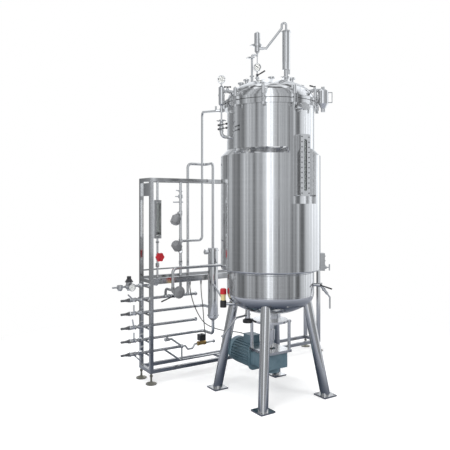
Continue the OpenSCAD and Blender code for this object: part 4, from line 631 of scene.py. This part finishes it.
bm = bmesh.new()
box_lid, lid_thick = stand((0, 260, motor_high.z * 1000), (0, 0, 1), (1, 0, 0)), 4
block(bm, box_lid, (0, 0, lid_thick / 2), (104, 114, lid_thick))
bmesh.ops.bevel(bm, geom=bm.edges[:], offset=0.0015, offset_type="OFFSET", segments=2,
                profile=0.5, affect="EDGES", material=-1)
trim("terminal_lid", bm, cowl_enamel)
bm = bmesh.new()
for x in (-42, 42):
    for y in (-47, 47):
        screw_head(bm, box_lid @ Matrix.Translation((x, y, lid_thick)), 4.5, 3)
trim("terminal_screws", bm, fitting_steel)

# ---------------------------------------------------------------------------
# The flow meter's scale: a white enamelled strip behind the glass tube, its
# marks printed in black.
rota_low, rota_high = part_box("rotameter_tube")
rota_x, rota_y, strip_back = -657, 740, 19
mark_count, mark_inset = 31, 20
scale_place = stand((rota_x, rota_y + strip_back, rota_low.z * 1000), (0, -1, 0), (1, 0, 0))
bm = bmesh.new()
tall = (rota_high.z - rota_low.z) * 1000
block(bm, scale_place, (0, tall / 2, 0), (34, tall - 4, 1.2))
bmesh.ops.bevel(bm, geom=bm.edges[:], offset=0.0003, offset_type="OFFSET", segments=1,
                profile=0.5, affect="EDGES", material=-1)
trim("scale_strip", bm, dial_card)
bm = bmesh.new()
for k in range(mark_count):
    long = 10 if k % 5 == 0 else 6
    up = mark_inset + k * (tall - 2 * mark_inset) / (mark_count - 1)
    block(bm, scale_place, (-15 + long / 2, up, 0.8), (long, 0.9, 0.3))
trim("scale_marks", bm, ink)

# ---------------------------------------------------------------------------
# Strain reliefs: ribbed rubber sleeves that taper onto the two cables, at
# their clips, at the terminal box and at the solenoid's coil.
def sleeve(name, foot, way, length, wide, narrow, ribs=5, share=0.72):
    """Ribs take up their share of the length, with necks between them."""
    bm = bmesh.new()
    place = stand(foot, way, (way[1], way[2], way[0]))
    for k in range(ribs):
        a, b = k / ribs, (k + share) / ribs
        for low, high, r0, r1 in ((a, b, wide + (narrow - wide) * a, wide + (narrow - wide) * b),
                                  (b, (k + 1) / ribs, narrow, narrow)):
            middle = Matrix.Translation((0, 0, (low + high) / 2 * length))
            bmesh.ops.create_cone(bm, cap_ends=True, segments=20, radius1=r0, radius2=r1,
                                  depth=(high - low) * length, matrix=place @ middle)
    trim(name, bm, cable_rubber)


sleeve("motor_sleeve", (0, 341.5, 398), (0, 1, 0), 34, 9, 5.2)
sleeve("motor_clip_sleeve", (-357, 700, 836.5), (0, 0, -1), 26, 8, 5.2)
sleeve("solenoid_clip_sleeve", (-243, 700, 836.5), (0, 0, -1), 26, 8, 5.2)
sleeve("solenoid_sleeve", (-178, 764.5, 304), (0, -1, 0), 21, 7, 5)

# ---------------------------------------------------------------------------
# Weld beads: the jacket's lower closure and the shell's seam with its dish are
# each ringed by a narrow rippled bead, a little duller than the plate.
bead_steel = polished("bead_steel", 0.6, 0.2, (700, 700, 60), depth=0.0003, strength=0.5)


def bead(name, r, z, thick, sides=6):
    bm = bmesh.new()
    section = [Vector((r + thick * math.cos(a), 0, z + thick * math.sin(a))) / 1000
               for a in (k * math.tau / sides for k in range(sides))]
    turn_round(bm, section, (0, 0, 0), (0, 0, 1), 144, closed=True)
    close_seams(bm)
    trim(name, bm, bead_steel)


shell_r, tangent_z = 354, 822
bead("jacket_lower_bead", shell_r + 0.6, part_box("jacket")[0].z * 1000, 2.2)
bead("shell_seam", shell_r - 0.4, tangent_z, 1.1)

# ---------------------------------------------------------------------------
# The condenser's lower shell: a sheet steel sleeve round the neck and the
# coolant pipe, as wide as the shell above, with a rolled lip at its foot.
condenser_x, condenser_y, neck_r, skirt_r = 130, -45, 19.5, 33
skirt_low = (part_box("condenser")[0] * 1000).z + 62
skirt_high = 2701
outline = [(neck_r, skirt_low), (skirt_r - 2, skirt_low), (skirt_r, skirt_low + 1.5),
           (skirt_r, skirt_low + 4), (skirt_r - 0.6, skirt_low + 6), (skirt_r - 0.6, skirt_high)]
bm = bmesh.new()
turn_round(bm, [Vector((condenser_x + r, condenser_y, z)) / 1000 for r, z in outline],
           (condenser_x / 1000, condenser_y / 1000, 0), (0, 0, 1), 64)
close_seams(bm)
trim("condenser_lower_shell", bm, fitting_steel, wall=0.0008)

# ---------------------------------------------------------------------------
# Cap screws on the two actuators' covers and round the regulator's flange.
def screw_ring(bm, place, count, ring_r, *screw):
    """Screws at even steps round a ring, the first on the place's local X."""
    for k in range(count):
        spot = Matrix.Rotation(k * math.tau / count, 4, "Z") @ Matrix.Translation((ring_r, 0, 0))
        screw_head(bm, place @ spot, *screw)


actuator_tall = 107
bm = bmesh.new()
for foot, way in (((-476, 700, 1453), (-49, -10, -105)), ((-460, 686, 1117), (-60, -10, 73))):
    axis = Vector(way).normalized()
    level = Vector((axis.z, 0, -axis.x)).normalized()
    screw_ring(bm, stand(Vector(foot) + axis * actuator_tall, axis, level), 6, 20, 3.4, 3)
trim("actuator_screws", bm, fitting_steel)
bm = bmesh.new()
screw_ring(bm, stand((-548, 543, 785), (0, -1, 0), (1, 0, 0)), 12, 49.3, 2.5, 3.5, 10)
trim("regulator_screws", bm, fitting_steel)
